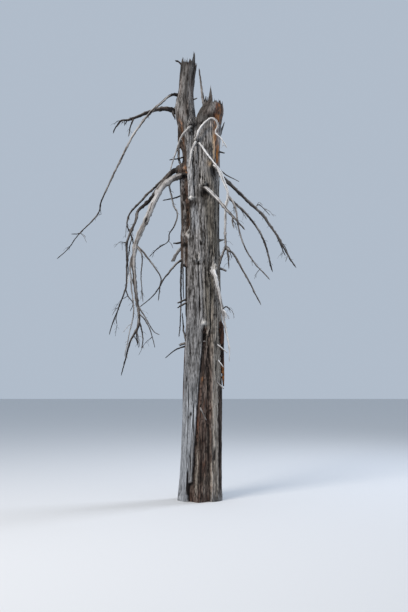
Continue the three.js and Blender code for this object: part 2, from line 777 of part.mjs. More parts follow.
// A leader's skin: its outside up to the rim, then down the hollow to a sunken middle.
function leaderSkin(leader, lift) {
  const foot = FORK_HEIGHT + GAP - lift;
  const step = 360 / LEADER_COLUMNS;
  const turns = Array.from({ length: LEADER_COLUMNS }, (_, i) => LEADER_FIRST_TURN + step * i);
  const outside = (turn, share) =>
    leaderPoint(leader, turn, mix(foot, rimHeight(leader, turn), share), 1, lift);
  const inside = (turn) => {
    const point = leaderPoint(leader, turn, rimHeight(leader, turn), 1 - LEADER_WALL, lift);
    point.z = Math.min(rimHeight(leader, turn), leader.rim) - leader.hollow / 2;
    return point;
  };
  const rows = [];
  for (let j = 0; j <= LEADER_ROWS; j++) rows.push(turns.map((turn) => outside(turn, j / LEADER_ROWS)));
  rows.push(turns.map(inside));
  const first = leaderPoint(leader, 0, foot, 0, 0);
  const last = leaderPoint(leader, 0, leader.rim, 0, 0);
  last.z = leader.rim - leader.hollow;
  return closedSkin(rows, first, last);
}

// Samples a smooth line through the points, with a direction and a side at each sample.
function lineThrough(points, stepsPerSpan) {
  const curve = new THREE.CatmullRomCurve3(
    points.map((p) => new THREE.Vector3(...p)),
    false,
    "centripetal",
  );
  const count = (points.length - 1) * stepsPerSpan;
  const line = [];
  let side = FIRST_SIDE;
  let length = 0;
  for (let i = 0; i <= count; i++) {
    const at = curve.getPoint(i / count);
    const ahead = curve.getTangent(i / count);
    side = side.clone().addScaledVector(ahead, -side.dot(ahead)).normalize();
    if (i > 0) length += at.distanceTo(line[i - 1].at);
    line.push({ at, ahead, side, length });
  }
  return line;
}

// A closed tube along part of a line. Its tip is blunt where `blunt` is set and flat otherwise.
function tube({ line, radiusAt }, sides, blunt) {
  const rows = line.map((sample) => {
    const other = new THREE.Vector3().crossVectors(sample.ahead, sample.side);
    const radius = radiusAt(sample.length);
    return Array.from({ length: sides }, (_, i) => {
      const angle = (2 * Math.PI * i) / sides;
      return sample.at
        .clone()
        .addScaledVector(sample.side, radius * Math.cos(angle))
        .addScaledVector(other, radius * Math.sin(angle));
    });
  });
  const end = line[line.length - 1];
  const tip = end.at.clone().addScaledVector(end.ahead, blunt ? radiusAt(end.length) : 0);
  return closedSkin(rows, line[0].at.clone(), tip);
}

// The radius along a bough: a taper between its named radii, a collar at its root and small knots.
function boughRadius(length, splitLength, fullLength, radii) {
  const [root, split, tip] = radii;
  const taper =
    length < splitLength
      ? mix(root, split, length / splitLength)
      : mix(split, tip, (length - splitLength) / Math.max(1, fullLength - splitLength));
  const collar = 1 + COLLAR.swell * Math.exp(-length / COLLAR.length);
  const apart = Math.abs((length % KNOT_SWELL.every) - KNOT_SWELL.every / 2);
  const knot = 1 + KNOT_SWELL.share * Math.exp(-((apart / KNOT_SWELL.length) ** 2));
  return taper * collar * knot;
}

// Straight pieces of every limb, by node, which later twigs keep clear of.
const occupied = [];

function occupy(node, { line, radiusAt }) {
  for (let i = 1; i < line.length; i++)
    occupied.push({ node, a: line[i - 1].at, b: line[i].at, radius: radiusAt(line[i].length) });
}

function insideTrunk(point, clearance) {
  if (point.z > FORK_HEIGHT) return false;
  const cut = section(point.z);
  const x = point.x - cut.middle;
  const y = -point.y / cut.depth;
  const degrees = THREE.MathUtils.radToDeg(Math.atan2(x, y));
  return Math.hypot(x, y) < trunkRadius(degrees, point.z) + clearance;
}

// Whether a twig would leave its mass's space, or touch the trunk or another limb.
function isBlocked(node, line, radius, rootLength, space) {
  if (line.some((sample) => !space.containsPoint(sample.at))) return true;
  const segment = new THREE.Line3();
  const nearest = new THREE.Vector3();
  for (const sample of line) {
    if (insideTrunk(sample.at, radius + CLEARANCE)) return true;
    for (const other of occupied) {
      if (other.node === node && sample.length < rootLength) continue;
      segment.set(other.a, other.b).closestPointToPoint(sample.at, true, nearest);
      if (nearest.distanceTo(sample.at) < radius + other.radius + CLEARANCE) return true;
    }
  }
  return false;
}

// The turning points of one finer twig that leaves `sample` of its stem.
function twigPoints(sample, seed, length) {
  const rule = TWIG_RULE;
  const angle = THREE.MathUtils.degToRad(rule.turn * seed);
  const rise = rule.lift * chance(seed + DRAW.lift);
  const out = new THREE.Vector3(Math.cos(angle), rule.depthBias * Math.sin(angle), rise).normalize();
  const down = new THREE.Vector3(0, 0, -1);
  const heading = out.addScaledVector(sample.ahead, rule.forward).normalize();
  const bend = sample.at.clone().addScaledVector(heading, length * rule.bendAt);
  bend.addScaledVector(down, length * rule.sag);
  const hanging = heading.clone().addScaledVector(down, rule.droop).normalize();
  const tip = bend.clone().addScaledVector(hanging, length * (1 - rule.bendAt));
  return [sample.at, bend, tip].map((p) => p.toArray());
}

// A limb that tapers evenly along a line.
function evenLimb(line, radii) {
  const end = line[line.length - 1].length;
  return { line, radiusAt: (length) => mix(radii[0], radii[1], length / end) };
}

// A fork of a stem, rooted on the stem's axis at the fork's height.
function forkOf(stem, fork) {
  const apart = (sample) => Math.abs(sample.at.z - fork.at);
  const root = stem.slice(1).reduce((best, one) => (apart(one) < apart(best) ? one : best));
  return evenLimb(lineThrough([root.at.toArray(), ...fork.points], FORK_STEPS), fork.radii);
}

// One finer twig by the seeded rule, or nothing where there is no room for it.
function finerTwig(name, carriers, seed, usualLength, space) {
  const carrier = carriers[Math.floor(chance(seed) ** TWIG_RULE.crowding * carriers.length)];
  const place = mix(...TWIG_RULE.places, chance(seed + DRAW.place));
  const root = carrier.line[Math.max(1, Math.round(place * (carrier.line.length - 1)))];
  const rootRadius = carrier.radiusAt(root.length);
  const radius = Math.max(TWIG_RULE.radiusLeast, rootRadius * TWIG_RULE.radiusShare);
  const length = usualLength * mix(...TWIG_RULE.lengths, chance(seed + DRAW.length));
  const line = lineThrough(twigPoints(root, seed, length), TWIG_STEPS);
  if (isBlocked(name, line, radius, ROOT_ZONE * (rootRadius + CLEARANCE), space)) return null;
  return evenLimb(line, [radius, radius * TWIG_RULE.tipShare]);
}

// A mass of bare twigs: one stem, its forks and the finer twigs, all fused.
function twigMass(name, bough, stem, seedStart) {
  const forks = bough.forks.map((fork) => forkOf(stem.line, fork));
  const carriers = [stem, ...forks];
  carriers.forEach((one) => occupy(name, one));
  let mass = solidOf(tube(stem, STEM_SIDES, true));
  for (const fork of forks) mass = mass.add(solidOf(tube(fork, TWIG_SIDES, true)));
  const reached = carriers.flatMap((one) => one.line.map((sample) => sample.at));
  const space = new THREE.Box3().setFromPoints(reached).expandByVector(SPACE_MARGIN);
  for (let i = 0; i < bough.twigs.count; i++) {
    const twig = finerTwig(name, carriers, seedStart + i, bough.twigs.length, space);
    if (!twig) continue;
    mass = mass.add(solidOf(tube(twig, TWIG_SIDES, true)));
    occupy(name, twig);
  }
  return largest(mass);
}

const group = new THREE.Group();
group.name = "dead_tree";

function addMesh(name, solid, colour) {
  const material = new THREE.MeshStandardMaterial({ color: colour, roughness: ROUGHNESS, metalness: 0 });
  const mesh = new THREE.Mesh(geometryOf(solid), material);
  mesh.name = name;
  group.add(mesh);
}

// A stem with its broken stubs fused on.
function withStubs(name, skin, stubs) {
  let solid = solidOf(skin);
  for (const stub of stubs) {
    const limb = evenLimb(lineThrough(stub.points, STUB_STEPS), stub.radii);
    solid = solid.add(solidOf(tube(limb, STEM_SIDES, true)));
    occupy(name, limb);
  }
  return largest(solid);
}
addMesh("trunk", withStubs("trunk", trunkSkin(0), TRUNK_STUBS), COLOURS.wood);

// What a limb on each of these is cut by, so that it meets the wood with the clearance.
const cutters = { trunk: solidOf(trunkSkin(GAP)) };
for (const leader of LEADERS) {
  addMesh(leader.name, withStubs(leader.name, leaderSkin(leader, 0), leader.stubs), COLOURS.leader);
  cutters[leader.name] = solidOf(leaderSkin(leader, GAP));
}

// The peeling plate: it follows the trunk's own grid, cut clear of it at its top and lifting away
// below.
function plateSolid() {
  const step = 360 / TRUNK_COLUMNS;
  const height = FORK_HEIGHT / TRUNK_ROWS;
  const turns = [];
  for (let turn = Math.ceil(PLATE.from / step) * step; turn <= PLATE.to; turn += step) turns.push(turn);
  const rows = [];
  for (let j = Math.ceil(PLATE.low / height); j * height <= PLATE.high; j++) {
    const z = j * height;
    const peel = PLATE.lift * ((PLATE.high - z) / (PLATE.high - PLATE.low)) ** 2;
    const inner = turns.map((turn) => trunkPoint(turn, z, peel - PLATE.sunk));
    const outer = turns.map((turn) => trunkPoint(turn, z, peel + PLATE.thickness));
    rows.push([...inner.reverse(), ...outer]);
  }
  const centre = (row) => row.reduce((sum, p) => sum.add(p), new THREE.Vector3()).divideScalar(row.length);
  const whole = solidOf(closedSkin(rows, centre(rows[0]), centre(rows[rows.length - 1])));
  return largest(whole.subtract(cutters.trunk));
}
addMesh("peeling_plate", plateSolid(), COLOURS.plate);

for (const splinter of SPLINTERS) {
  const limb = evenLimb(lineThrough(splinter.points, BOUGH_STEPS), splinter.radii);
  occupy(splinter.name, limb);
  const whole = solidOf(tube(limb, STEM_SIDES, true));
  addMesh(splinter.name, largest(whole.subtract(cutters[splinter.on])), COLOURS.splinter);
}

// First every bough, so that the twigs of all masses keep clear of them.
const masses = [];
for (const bough of BOUGHS) {
  const split = bough.split ?? bough.points.length - 1;
  const line = lineThrough(bough.points, BOUGH_STEPS);
  const splitLength = line[split * BOUGH_STEPS].length;
  const fullLength = line[line.length - 1].length;
  const whole = bough.split === undefined;
  const ends = whole ? fullLength / 2 : splitLength;
  const radiusAt = (length) => boughRadius(length, ends, fullLength, bough.radii);
  const limb = { line: line.slice(0, split * BOUGH_STEPS + 1), radiusAt };
  occupy(bough.name + "_bough", limb);
  const solid = solidOf(tube(limb, BOUGH_SIDES, whole));
  addMesh(bough.name + "_bough", largest(solid.subtract(cutters[bough.on])), COLOURS.bough);
  if (whole) continue;
  const stem = line.slice(split * BOUGH_STEPS).map((sample) => ({ ...sample }));
  stem[0].at = stem[0].at.clone().addScaledVector(stem[0].ahead, GAP);
  masses.push({ bough, stem: { line: stem, radiusAt } });
}
masses.forEach(({ bough, stem }, order) => {
  const name = bough.name + "_twigs";
  addMesh(name, twigMass(name, bough, stem, SEEDS_PER_MASS * (order + 1)), COLOURS.twig);
});

export default group;
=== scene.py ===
"""The looks of a weathered dead spruce that still stands.

The trunk, its two broken leaders, the boughs and the twigs follow the same named sizes as the part's
solids, with the relief, cracks, rot and bleaching of old barkless wood. Lengths are in millimetres
and become metres when a mesh is made. +X is to the right and +Y away from the viewer of the tree's
front. A turn is an angle round the trunk in degrees: 0 faces the viewer and 90 the right-hand side.
"""

import logging
import math
from dataclasses import dataclass, replace
from enum import Enum

import bpy
import numpy as np
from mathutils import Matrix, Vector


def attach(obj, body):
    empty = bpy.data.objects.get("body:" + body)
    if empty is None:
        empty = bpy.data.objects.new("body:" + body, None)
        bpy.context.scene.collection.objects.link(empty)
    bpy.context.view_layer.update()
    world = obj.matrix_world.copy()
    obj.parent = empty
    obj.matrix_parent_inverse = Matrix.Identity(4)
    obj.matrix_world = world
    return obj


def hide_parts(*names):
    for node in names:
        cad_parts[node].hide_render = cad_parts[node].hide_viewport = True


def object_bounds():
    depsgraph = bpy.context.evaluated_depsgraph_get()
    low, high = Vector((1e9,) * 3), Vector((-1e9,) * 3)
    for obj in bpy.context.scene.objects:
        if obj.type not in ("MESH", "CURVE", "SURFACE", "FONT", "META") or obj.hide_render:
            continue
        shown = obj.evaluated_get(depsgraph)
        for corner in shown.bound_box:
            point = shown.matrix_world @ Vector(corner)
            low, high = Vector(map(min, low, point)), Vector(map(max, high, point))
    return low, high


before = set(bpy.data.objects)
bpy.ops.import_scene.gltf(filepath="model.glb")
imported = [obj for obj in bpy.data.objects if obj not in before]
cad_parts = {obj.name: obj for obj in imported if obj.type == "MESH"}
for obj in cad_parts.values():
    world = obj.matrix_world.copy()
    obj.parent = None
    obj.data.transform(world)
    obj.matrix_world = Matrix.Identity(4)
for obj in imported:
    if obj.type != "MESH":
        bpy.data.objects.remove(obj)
CAD_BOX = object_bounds()
BOX_LOW, BOX_HIGH = (np.array(corner) * 1000.0 for corner in CAD_BOX)

LOG = logging.getLogger("dead_tree")
METRES = 0.001
UP = np.array([0.0, 0.0, 1.0])
Array = np.ndarray
Place = tuple[float, float, float]
Box = tuple[Array, Array]

# The tones of limb wood, from the darkest, the painted shade of splits and undersides, to bleached wood.
LIMB_TONES = ("#1B1716", "#38322F", "#544F4C", "#706C69", "#8D8A88", "#A8A6A5", "#C3C2C1", "#DDDCDB")


def mix(a: Array | float, b: Array | float, share: Array | float) -> Array | float:
    """The value that lies the given share of the way from a to b."""
    return a + (b - a) * share


def ease(low: float, high: float, value: Array) -> Array:
    """0 below `low`, 1 above `high`, and a smooth step 3s^2 - 2s^3 between them."""
    share = np.clip((value - low) / (high - low), 0.0, 1.0)
    return share * share * (3 - 2 * share)


def band(low: Array | float, high: Array | float, softness: float, value: Array) -> Array:
    """1 between `low` and `high`, and 0 outside, with sides of the given softness."""
    return ease(low - softness, low + softness, value) * (1 - ease(high - softness, high + softness, value))


def groove(near: float, far: float, pattern: Array) -> Array:
    """1 along the lines where a pattern crosses zero, falling to 0 where it reaches `far`."""
    return 1 - ease(near, far, np.abs(pattern))


def chance(n: Array | float) -> Array | float:
    """A number from 0 to 1 that depends only on n: the fraction of a large multiple of a sine."""
    value = np.sin(np.multiply(n, 12.9898)) * 43758.5453
    return value - np.floor(value)


def wrapped(degrees: Array) -> Array:
    """The same turn between -180 and 180 degrees."""
    return (np.asarray(degrees) + 180.0) % 360.0 - 180.0


def unit(vector: Array) -> Array:
    """The vector at a length of 1."""
    return vector / max(np.linalg.norm(vector), 1e-9)


def leaning(out: Array, ahead: Array, forward: float) -> Array:
    """The direction `out`, leaned forward by a share of its carrier's direction ahead."""
    return unit(unit(out) + forward * ahead)


def leaves(points: Array, box: Box) -> bool:
    """Whether any of the places lies outside the box."""
    return bool(np.any(points < box[0]) or np.any(points > box[1]))


def linear(colour: str) -> Array:
    """An sRGB hex colour as linear red, green and blue."""
    value = np.array([int(colour[i : i + 2], 16) for i in (1, 3, 5)]) / 255.0
    return np.where(value <= 0.04045, value / 12.92, ((value + 0.055) / 1.055) ** 2.4)


def noise(points: Array, across: float, along: float, seed: int) -> Array:
    """Smooth noise from 0 to 1: random numbers on a lattice, blended by smooth steps in each cell.

    Args:
        points: places in millimetres, with x, y and z along the last axis.
        across: the length of a cell along x and y.
        along: its length along z.
        seed: picks one of many patterns.

    Returns:
        One number for each place.
    """
    scaled = points / np.array([across, across, along])
    floor = np.floor(scaled)
    share = scaled - floor
    share = share * share * share * (share * (share * 6 - 15) + 10)
    cell = floor.astype(np.int64).astype(np.uint32)
    total = np.zeros(points.shape[:-1])
    for corner in np.ndindex(2, 2, 2):
        at = cell + np.array(corner, np.uint32)
        mixed = at[..., 0] * np.uint32(374761393) + at[..., 1] * np.uint32(668265263)
        mixed = mixed + at[..., 2] * np.uint32(2246822519) + np.uint32(seed * 3266489917 % 2**32)
        mixed = (mixed ^ (mixed >> np.uint32(13))) * np.uint32(1274126177)
        mixed = mixed ^ (mixed >> np.uint32(16))
        weight = np.prod(np.where(np.array(corner) == 1, share, 1 - share), axis=-1)
        total += weight * (mixed & np.uint32(0xFFFFFF)) / 0xFFFFFF
    return total


def swing(points: Array, across: float, along: float, seed: int) -> Array:
    """The same noise from -1 to 1."""
    return 2 * noise(points, across, along, seed) - 1


def contrast(value: Array, gain: float) -> Array:
    """Spreads values round one half by the gain and keeps them between 0 and 1."""
    return np.clip((value - 0.5) * gain + 0.5, 0.0, 1.0)


def blurred(values: Array, rows: int, columns: int) -> Array:
    """The mean over a window of a grid that closes on itself round its columns.

    Args:
        values: a grid of numbers.
        rows: half the window's height.
        columns: half the window's width.

    Returns:
        A grid of the same shape.
    """
    wide = np.concatenate([values[:, -columns:], values, values[:, :columns]], axis=1)
    total = np.cumsum(np.pad(wide, ((0, 0), (1, 0))), axis=1)
    span = 2 * columns + 1
    across = (total[:, span:] - total[:, :-span]) / span
    total = np.cumsum(np.pad(np.pad(across, ((rows, rows), (0, 0)), mode="edge"), ((1, 0), (0, 0))), axis=0)
    span = 2 * rows + 1
    return (total[span:] - total[:-span]) / span


def catmull_rom(points: Array, share: Array) -> Array:
    """Places on the centripetal Catmull-Rom curve through the points, its ends carried on straight.

    Args:
        points: the turning points, at least two.
        share: shares of the way along, counted in spans.

    Returns:
        One place for each share.
    """
    last = len(points) - 1
    padded = np.vstack([2 * points[0] - points[1], points, 2 * points[-1] - points[-2]])
    walked = np.clip(share, 0.0, 1.0) * last
    start = np.minimum(np.floor(walked).astype(int), last - 1)
    t = (walked - start)[:, None]
    p0, p1, p2, p3 = corners = [padded[start + i] for i in range(4)]
    spans = [np.sqrt(np.linalg.norm(corners[i + 1] - corners[i], axis=1))[:, None] for i in range(3)]
    d0, d1, d2 = spans[0], np.where(spans[1] < 1e-4, 1.0, spans[1]), spans[2]
    leaving = ((p1 - p0) / d0 - (p2 - p0) / (d0 + d1) + (p2 - p1) / d1) * d1
    arriving = ((p2 - p1) / d1 - (p3 - p1) / (d1 + d2) + (p3 - p2) / d2) * d1
    square = -3 * p1 + 3 * p2 - 2 * leaving - arriving
    cube = 2 * p1 - 2 * p2 + leaving + arriving
    return p1 + t * (leaving + t * (square + t * cube))


def ring_places(middle: Array, depth: Array, reach: Array, degrees: Array, z: Array) -> Array:
    """Places round an upright stem: x = middle + reach sin(turn), y = -reach cos(turn) depth.

    Args:
        middle: x of the section's middle.
        depth: how deep the section is for its width.
        reach: distances from the middle.
        degrees: turns.
        z: heights.

    Returns:
        The places.
    """
    turn = np.radians(degrees)
    x = middle + reach * np.sin(turn)
    y = -reach * np.cos(turn) * depth
    return np.stack([x, y, np.broadcast_to(z, x.shape)], axis=-1)


class Look(Enum):
    """How bleached a limb is: the middle of its range of wood tones."""

    BLEACHED = 5.7
    CHALKY = 5.0
    PALE = 4.4
    WORN = 3.8
    GREY = 3.2
    DARK = 2.0


class Hue(Enum):
    """The plain colours of old barkless spruce, as sRGB hex values. The two near-black ones are painted shade
    for cracks, hollows, holes and undersides.
    """

    # Near-black painted shade for cracks, hollows and the undersides of bosses; also the darkest streaks of
    # dark zones and patches.
    CRACK_SHADE = "#15110F"
    GREY_DARK = "#33302D"
    GREY_PALE = "#918F8E"
    SILVER_DARK = "#56575A"
    SILVER_PALE = "#B6B9BD"
    OLIVE_DARK = "#2B2825"
    OLIVE_PALE = "#7D776D"
    ROT_DARK = "#1E1714"
    ROT_PALE = "#766860"
    ROT_RED = "#5A3A2B"
    BROWN = "#4C3D33"
    BEIGE_DARK = "#5E564E"
    BEIGE_PALE = "#B3A99D"
    ORANGE = "#96602F"
    TAN = "#B8A084"
    BLEACHED = "#D0CDC8"
    # Near-black painted shade inside holes, hollows and deep recesses; zones mix it with the wood's own rot
    # colours.
    INSIDE = "#1D1815"

    @property
    def tone(self) -> Array:
        """The colour as linear red, green and blue."""
        return linear(self.value)

    def to(self, other: "Hue", share: Array | float) -> Array:
        """The colours that lie the given share of the way to another one."""
        return mix(self.tone, other.tone, share)


class Pattern(Enum):
    """Noise in upright wood: the size of a cell across the grain and along it, and a seed."""

    CRACKED = (90, 520, 6)
    FINE_CRACKED = (50, 220, 8)
    ROT_CRACKED = (40, 90, 15)
    SLOW_X = (300, 700, 21)
    SLOW_Y = (300, 700, 22)
    QUICK_X = (90, 260, 23)
    QUICK_Y = (90, 260, 24)
    RAGGED = (16, 90, 31)
    FRAYED = (6, 30, 32)
    SEAM = (60, 120, 33)
    SHELL_EDGE = (11, 120, 34)
    OLIVE = (70, 420, 41)
    FLAKE = (15, 70, 42)
    RED = (12, 160, 43)
    MOTTLE = (10, 44, 45)
    SILVER = (8, 260, 46)
    TORN = (14, 60, 51)
    PLATE_LEFT = (30, 34, 81)
    PLATE_RIGHT = (30, 40, 82)
    PLATE_FIBRE = (9, 140, 83)
    PLATE_CRACK = (20, 260, 84)
    PLATE_STREAK = (8, 160, 85)

    def at(self, points: Array) -> Array:
        """The noise from 0 to 1."""
        return noise(points, *self.value)

    def swing(self, points: Array) -> Array:
        """The noise from -1 to 1."""
        return swing(points, *self.value)

    def sharp(self, points: Array, gain: float) -> Array:
        """The noise from 0 to 1 with its contrast raised, ready to mix colours by."""
        return contrast(self.at(points), gain)[..., None]


@dataclass(frozen=True)
class Station:
    """The left and right edge of a stem, seen from the front, at a height."""

    z: float
    left: float
    right: float


@dataclass(frozen=True)
class Skin:
    """Places on the trunk: turns, heights, the plain radius and an uneven shift from -1 to 1."""

    degrees: Array
    z: Array
    reach: Array
    ragged: Array

    @property
    def turn(self) -> Array:
        """The turns between -180 and 180 degrees, one for each place."""
        return np.broadcast_to(wrapped(self.degrees), np.broadcast(self.degrees, self.z).shape)


@dataclass(frozen=True)
class Knot:
    """A boss (positive lift) or a hollow (negative lift) in the trunk's side."""

    turn: float
    z: float
    lift: float
    wide: float
    tall: float
    # pale: how bleached a boss's nose is, and also how strong the painted shadow below it.
    pale: float = 0.0

    def bell(self, skin: Skin, underside: float = 1.0) -> Array:
        """A bell round the knot: exp(-a^2 - u^2) of the distances across and up.

        Args:
            skin: places on the trunk.
            underside: how tall a boss is below its middle, as a share of its height above it.

        Returns:
            1 at the knot, falling to 0 round it.
        """
        across = np.radians(wrapped(skin.degrees - self.turn)) * skin.reach / self.wide
        tall = np.where((skin.z < self.z) & (self.lift > 0), self.tall * underside, self.tall)
        up = (skin.z - self.z) / tall
        return np.exp(-across * across - up * up)


@dataclass(frozen=True)
class Strip:
    """A strip of the trunk's side between two turns and two heights, raised or sunk by a depth. Its
    sides and ends sway by so many degrees and millimetres."""

    low: float
    high: float
    left: float
    right: float
    depth: float
    sway: tuple[float, float]

    def mask(self, skin: Skin, side: float = 1.6, end: float = 30.0) -> Array:
        """1 inside the strip and 0 outside it, with sides and ends of the given softness."""
        turn, z = skin.turn + self.sway[0] * skin.ragged, skin.z + self.sway[1] * skin.ragged
        return band(self.left, self.right, side, turn) * band(self.low, self.high, end, z)


@dataclass(frozen=True)
class Seam:
    """A long crack that runs through places given as pairs of turn and height."""

    places: tuple[tuple[float, float], ...]
    width: float
    depth: float


@dataclass(frozen=True)
class Patch:
    """A streaky patch of colour on the trunk's side."""

    turn: float
    z: float
    wide: float
    tall: float
    colour: Hue
    strength: float

    def over(self, colour: Array, near: Array, streak: Array, mottle: Array) -> Array:
        """Colours with the patch laid over them: its colour times the wood's streaks and mottle."""
        share = np.clip(self.strength * near * (0.1 + 1.5 * streak), 0.0, 1.0)
        return mix(colour, self.colour.tone * (0.2 + 0.5 * streak + 0.75 * mottle), share)


@dataclass(frozen=True)
class Zone:
    """A streaky area of two colours, between turns given at its low and at its high end."""

    low: float
    high: float
    left: tuple[float, float]
    right: tuple[float, float]
    dark: Hue
    pale: Hue
    strength: float = 1.0
    side: float = 3.0
    end: float = 70.0

    def mask(self, skin: Skin) -> Array:
        """How much of the zone's colour places take, with ragged sides and ends.

        Args:
            skin: places on the trunk.

        Returns:
            The zone's strength inside it and 0 outside.
        """
        rise = np.clip((skin.z - self.low) / (self.high - self.low), 0.0, 1.0)
        turn, z = skin.turn + 2.5 * skin.ragged, skin.z + 90 * skin.ragged
        sides = band(mix(*self.left, rise), mix(*self.right, rise), self.side, turn)
        return self.strength * sides * band(self.low, self.high, self.end, z)


@dataclass(frozen=True)
class Flute:
    """A slow wave round the trunk: how many there are, how deep, their first turn and twist."""

    count: int
    depth: float
    start: float
    pitch: float


@dataclass(frozen=True)
class StubPlan:
    """A short broken limb: its turning points, its radii at the root and at the end, and its look."""

    points: tuple[Place, ...]
    radii: tuple[float, float]
    look: Look = Look.DARK


@dataclass(frozen=True)
class ForkPlan:
    """A fork of a stem of twigs, which leaves it at height `at`."""

    at: float
    points: tuple[Place, ...]
    radii: tuple[float, float]
    look: Look | None = None


@dataclass(frozen=True)
class BoughPlan:
    """A bough: its turning points, the point where its twigs begin, radii, forks and finer twigs,
    the look of its tip, and how far from its root it is dark."""

    name: str
    look: Look
    points: tuple[Place, ...]
    radii: Place
    split: int | None = None
    forks: tuple[ForkPlan, ...] = ()
    twig_count: int = 0
    twig_length: float = 0.0
    tip_look: Look | None = None
    dark_root: float = 0.0

    @property
    def side(self) -> str:
        """Which side of the tree the bough belongs to."""
        front = "left" if self.name.startswith(("left", "high", "fork")) else "right"
        return "back" if self.name.startswith("back") else front


def edge_curve(stations: tuple[Station, ...], key: str, z: Array) -> Array:
    """A smooth curve through the stations' values, with slopes from their neighbours.

    Args:
        stations: the stations from the lowest to the highest.
        key: which edge to follow.
        z: heights.

    Returns:
        The edge's place at each height, by cubic Hermite spans.
    """
    heights = np.array([one.z for one in stations])
    values = np.array([getattr(one, key) for one in stations])
    last = len(stations) - 1
    low = np.maximum(np.arange(last + 1) - 1, 0)
    high = np.minimum(np.arange(last + 1) + 1, last)
    slopes = (values[high] - values[low]) / (heights[high] - heights[low])
    start = np.clip(np.searchsorted(heights, z, side="right") - 1, 0, last - 1)
    span = heights[start + 1] - heights[start]
    t = (z - heights[start]) / span
    hill = t * t * (3 - 2 * t)
    leaving = t * (1 - t) * (1 - t) * span * slopes[start]
    arriving = -t * t * (1 - t) * span * slopes[start + 1]
    return mix(values[start], values[start + 1], hill) + leaving + arriving


@dataclass
class Line:
    """A sampled centre line: places, directions and the length walked to each."""

    at: Array
    ahead: Array
    length: Array

    @classmethod
    def through(cls, points: Array, count: int) -> "Line":
        """The smooth line through turning points, in equal shares of its spans.

        Args:
            points: the turning points.
            count: how many shares.

        Returns:
            The line.
        """
        share = np.arange(count + 1) / count
        at = catmull_rom(points, share)
        ahead = catmull_rom(points, share + 1e-4) - catmull_rom(points, share - 1e-4)
        ahead /= np.linalg.norm(ahead, axis=1, keepdims=True)
        steps = np.linalg.norm(np.diff(at, axis=0), axis=1)
        return cls(at, ahead, np.concatenate([[0.0], np.cumsum(steps)]))

    def part(self, start: int, stop: int | None = None) -> "Line":
        """The samples from `start` up to `stop`, with their lengths kept."""
        return Line(self.at[start:stop].copy(), self.ahead[start:stop], self.length[start:stop])


@dataclass
class Surface:
    """Points in millimetres, faces of four and of three corners, and what their finish needs."""

    points: Array
    quads: Array
    triangles: Array
    colours: Array | None = None
    normals: Array | None = None
    tones: Array | None = None
    quad_uv: Array | None = None
    triangle_uv: Array | None = None


def tube_faces(rows: int, columns: int) -> tuple[Array, Array]:
    """The faces of a grid that closes on itself, with a fan at each end round two last points.

    Args:
        rows: rows of the grid.
        columns: points in each row.

    Returns:
        The faces of four corners and those of three, all facing outwards.
    """
    here = np.arange(rows * columns).reshape(rows, columns)
    following = np.roll(here, -1, axis=1)
    quads = np.stack([here[:-1], following[:-1], following[1:], here[1:]], axis=-1).reshape(-1, 4)
    first = np.full(columns, rows * columns)
    low = np.stack([first, following[0], here[0]], axis=-1)
    high = np.stack([first + 1, here[-1], following[-1]], axis=-1)
    return quads, np.vstack([low, high])


def grid_normals(grid: Array) -> Array:
    """Unit normals of a closed grid: the cross product of its steps round and along.

    Args:
        grid: places by row and column.

    Returns:
        A normal for each place.
    """
    across = np.roll(grid, -1, axis=1) - np.roll(grid, 1, axis=1)
    normal = np.cross(across, np.gradient(grid, axis=0))
    return normal / np.maximum(np.linalg.norm(normal, axis=-1, keepdims=True), 1e-9)


def joined(surfaces: list[Surface]) -> Surface:
    """Several surfaces whose faces have tones, as one.

    Args:
        surfaces: the surfaces, each with a tone for each face.

    Returns:
        One surface, with its faces of four corners before those of three.
    """
    starts = np.cumsum([0] + [len(one.points) for one in surfaces[:-1]])
    quad_tones = [one.tones[: len(one.quads)] for one in surfaces]
    triangle_tones = [one.tones[len(one.quads) :] for one in surfaces]
    return Surface(
        np.vstack([one.points for one in surfaces]),
        np.vstack([one.quads + start for one, start in zip(surfaces, starts)]),
        np.vstack([one.triangles + start for one, start in zip(surfaces, starts)]),
        tones=np.concatenate(quad_tones + triangle_tones),
    )


def banded(grid: Array, colours: Array, normals: Array) -> Surface:
    """A closed band of skin with a map that unrolls it: u round the stem and v along it.

    Args:
        grid: rows of places that close on themselves.
        colours: a linear colour for each place.
        normals: a unit normal for each place.

    Returns:
        The band, with a fan round a middle point at each end.
    """
    rows, columns = grid.shape[:2]
    quads, triangles = tube_faces(rows, columns)
    ends = [grid[0].mean(axis=0), grid[-1].mean(axis=0)]
    end_colours = [colours[0].mean(axis=0), colours[-1].mean(axis=0)]
    u = np.arange(columns + 1) / columns
    corner = np.stack(np.meshgrid(u, 0.04 + 0.92 * np.arange(rows) / (rows - 1)), axis=-1)
    quad_uv = np.stack([corner[:-1, :-1], corner[:-1, 1:], corner[1:, 1:], corner[1:, :-1]], axis=2)
    halfway = u[:-1] + np.diff(u)[0] / 2
    low = (halfway, 0.0), (u[1:], 0.035), (u[:-1], 0.035)
    high = (halfway, 1.0), (u[:-1], 0.965), (u[1:], 0.965)
    fan_uv = []
    for fan in (low, high):
        fan_uv.append(np.stack([np.stack([at, np.full(columns, v)], -1) for at, v in fan], axis=1))
    return Surface(
        np.vstack([grid.reshape(-1, 3), *ends]),
        quads,
        triangles,
        colours=np.vstack([colours.reshape(-1, 3), *end_colours]),
        normals=np.vstack([normals.reshape(-1, 3), -UP, UP]),
        quad_uv=quad_uv.reshape(-1, 4, 2),
        triangle_uv=np.concatenate(fan_uv),
    )


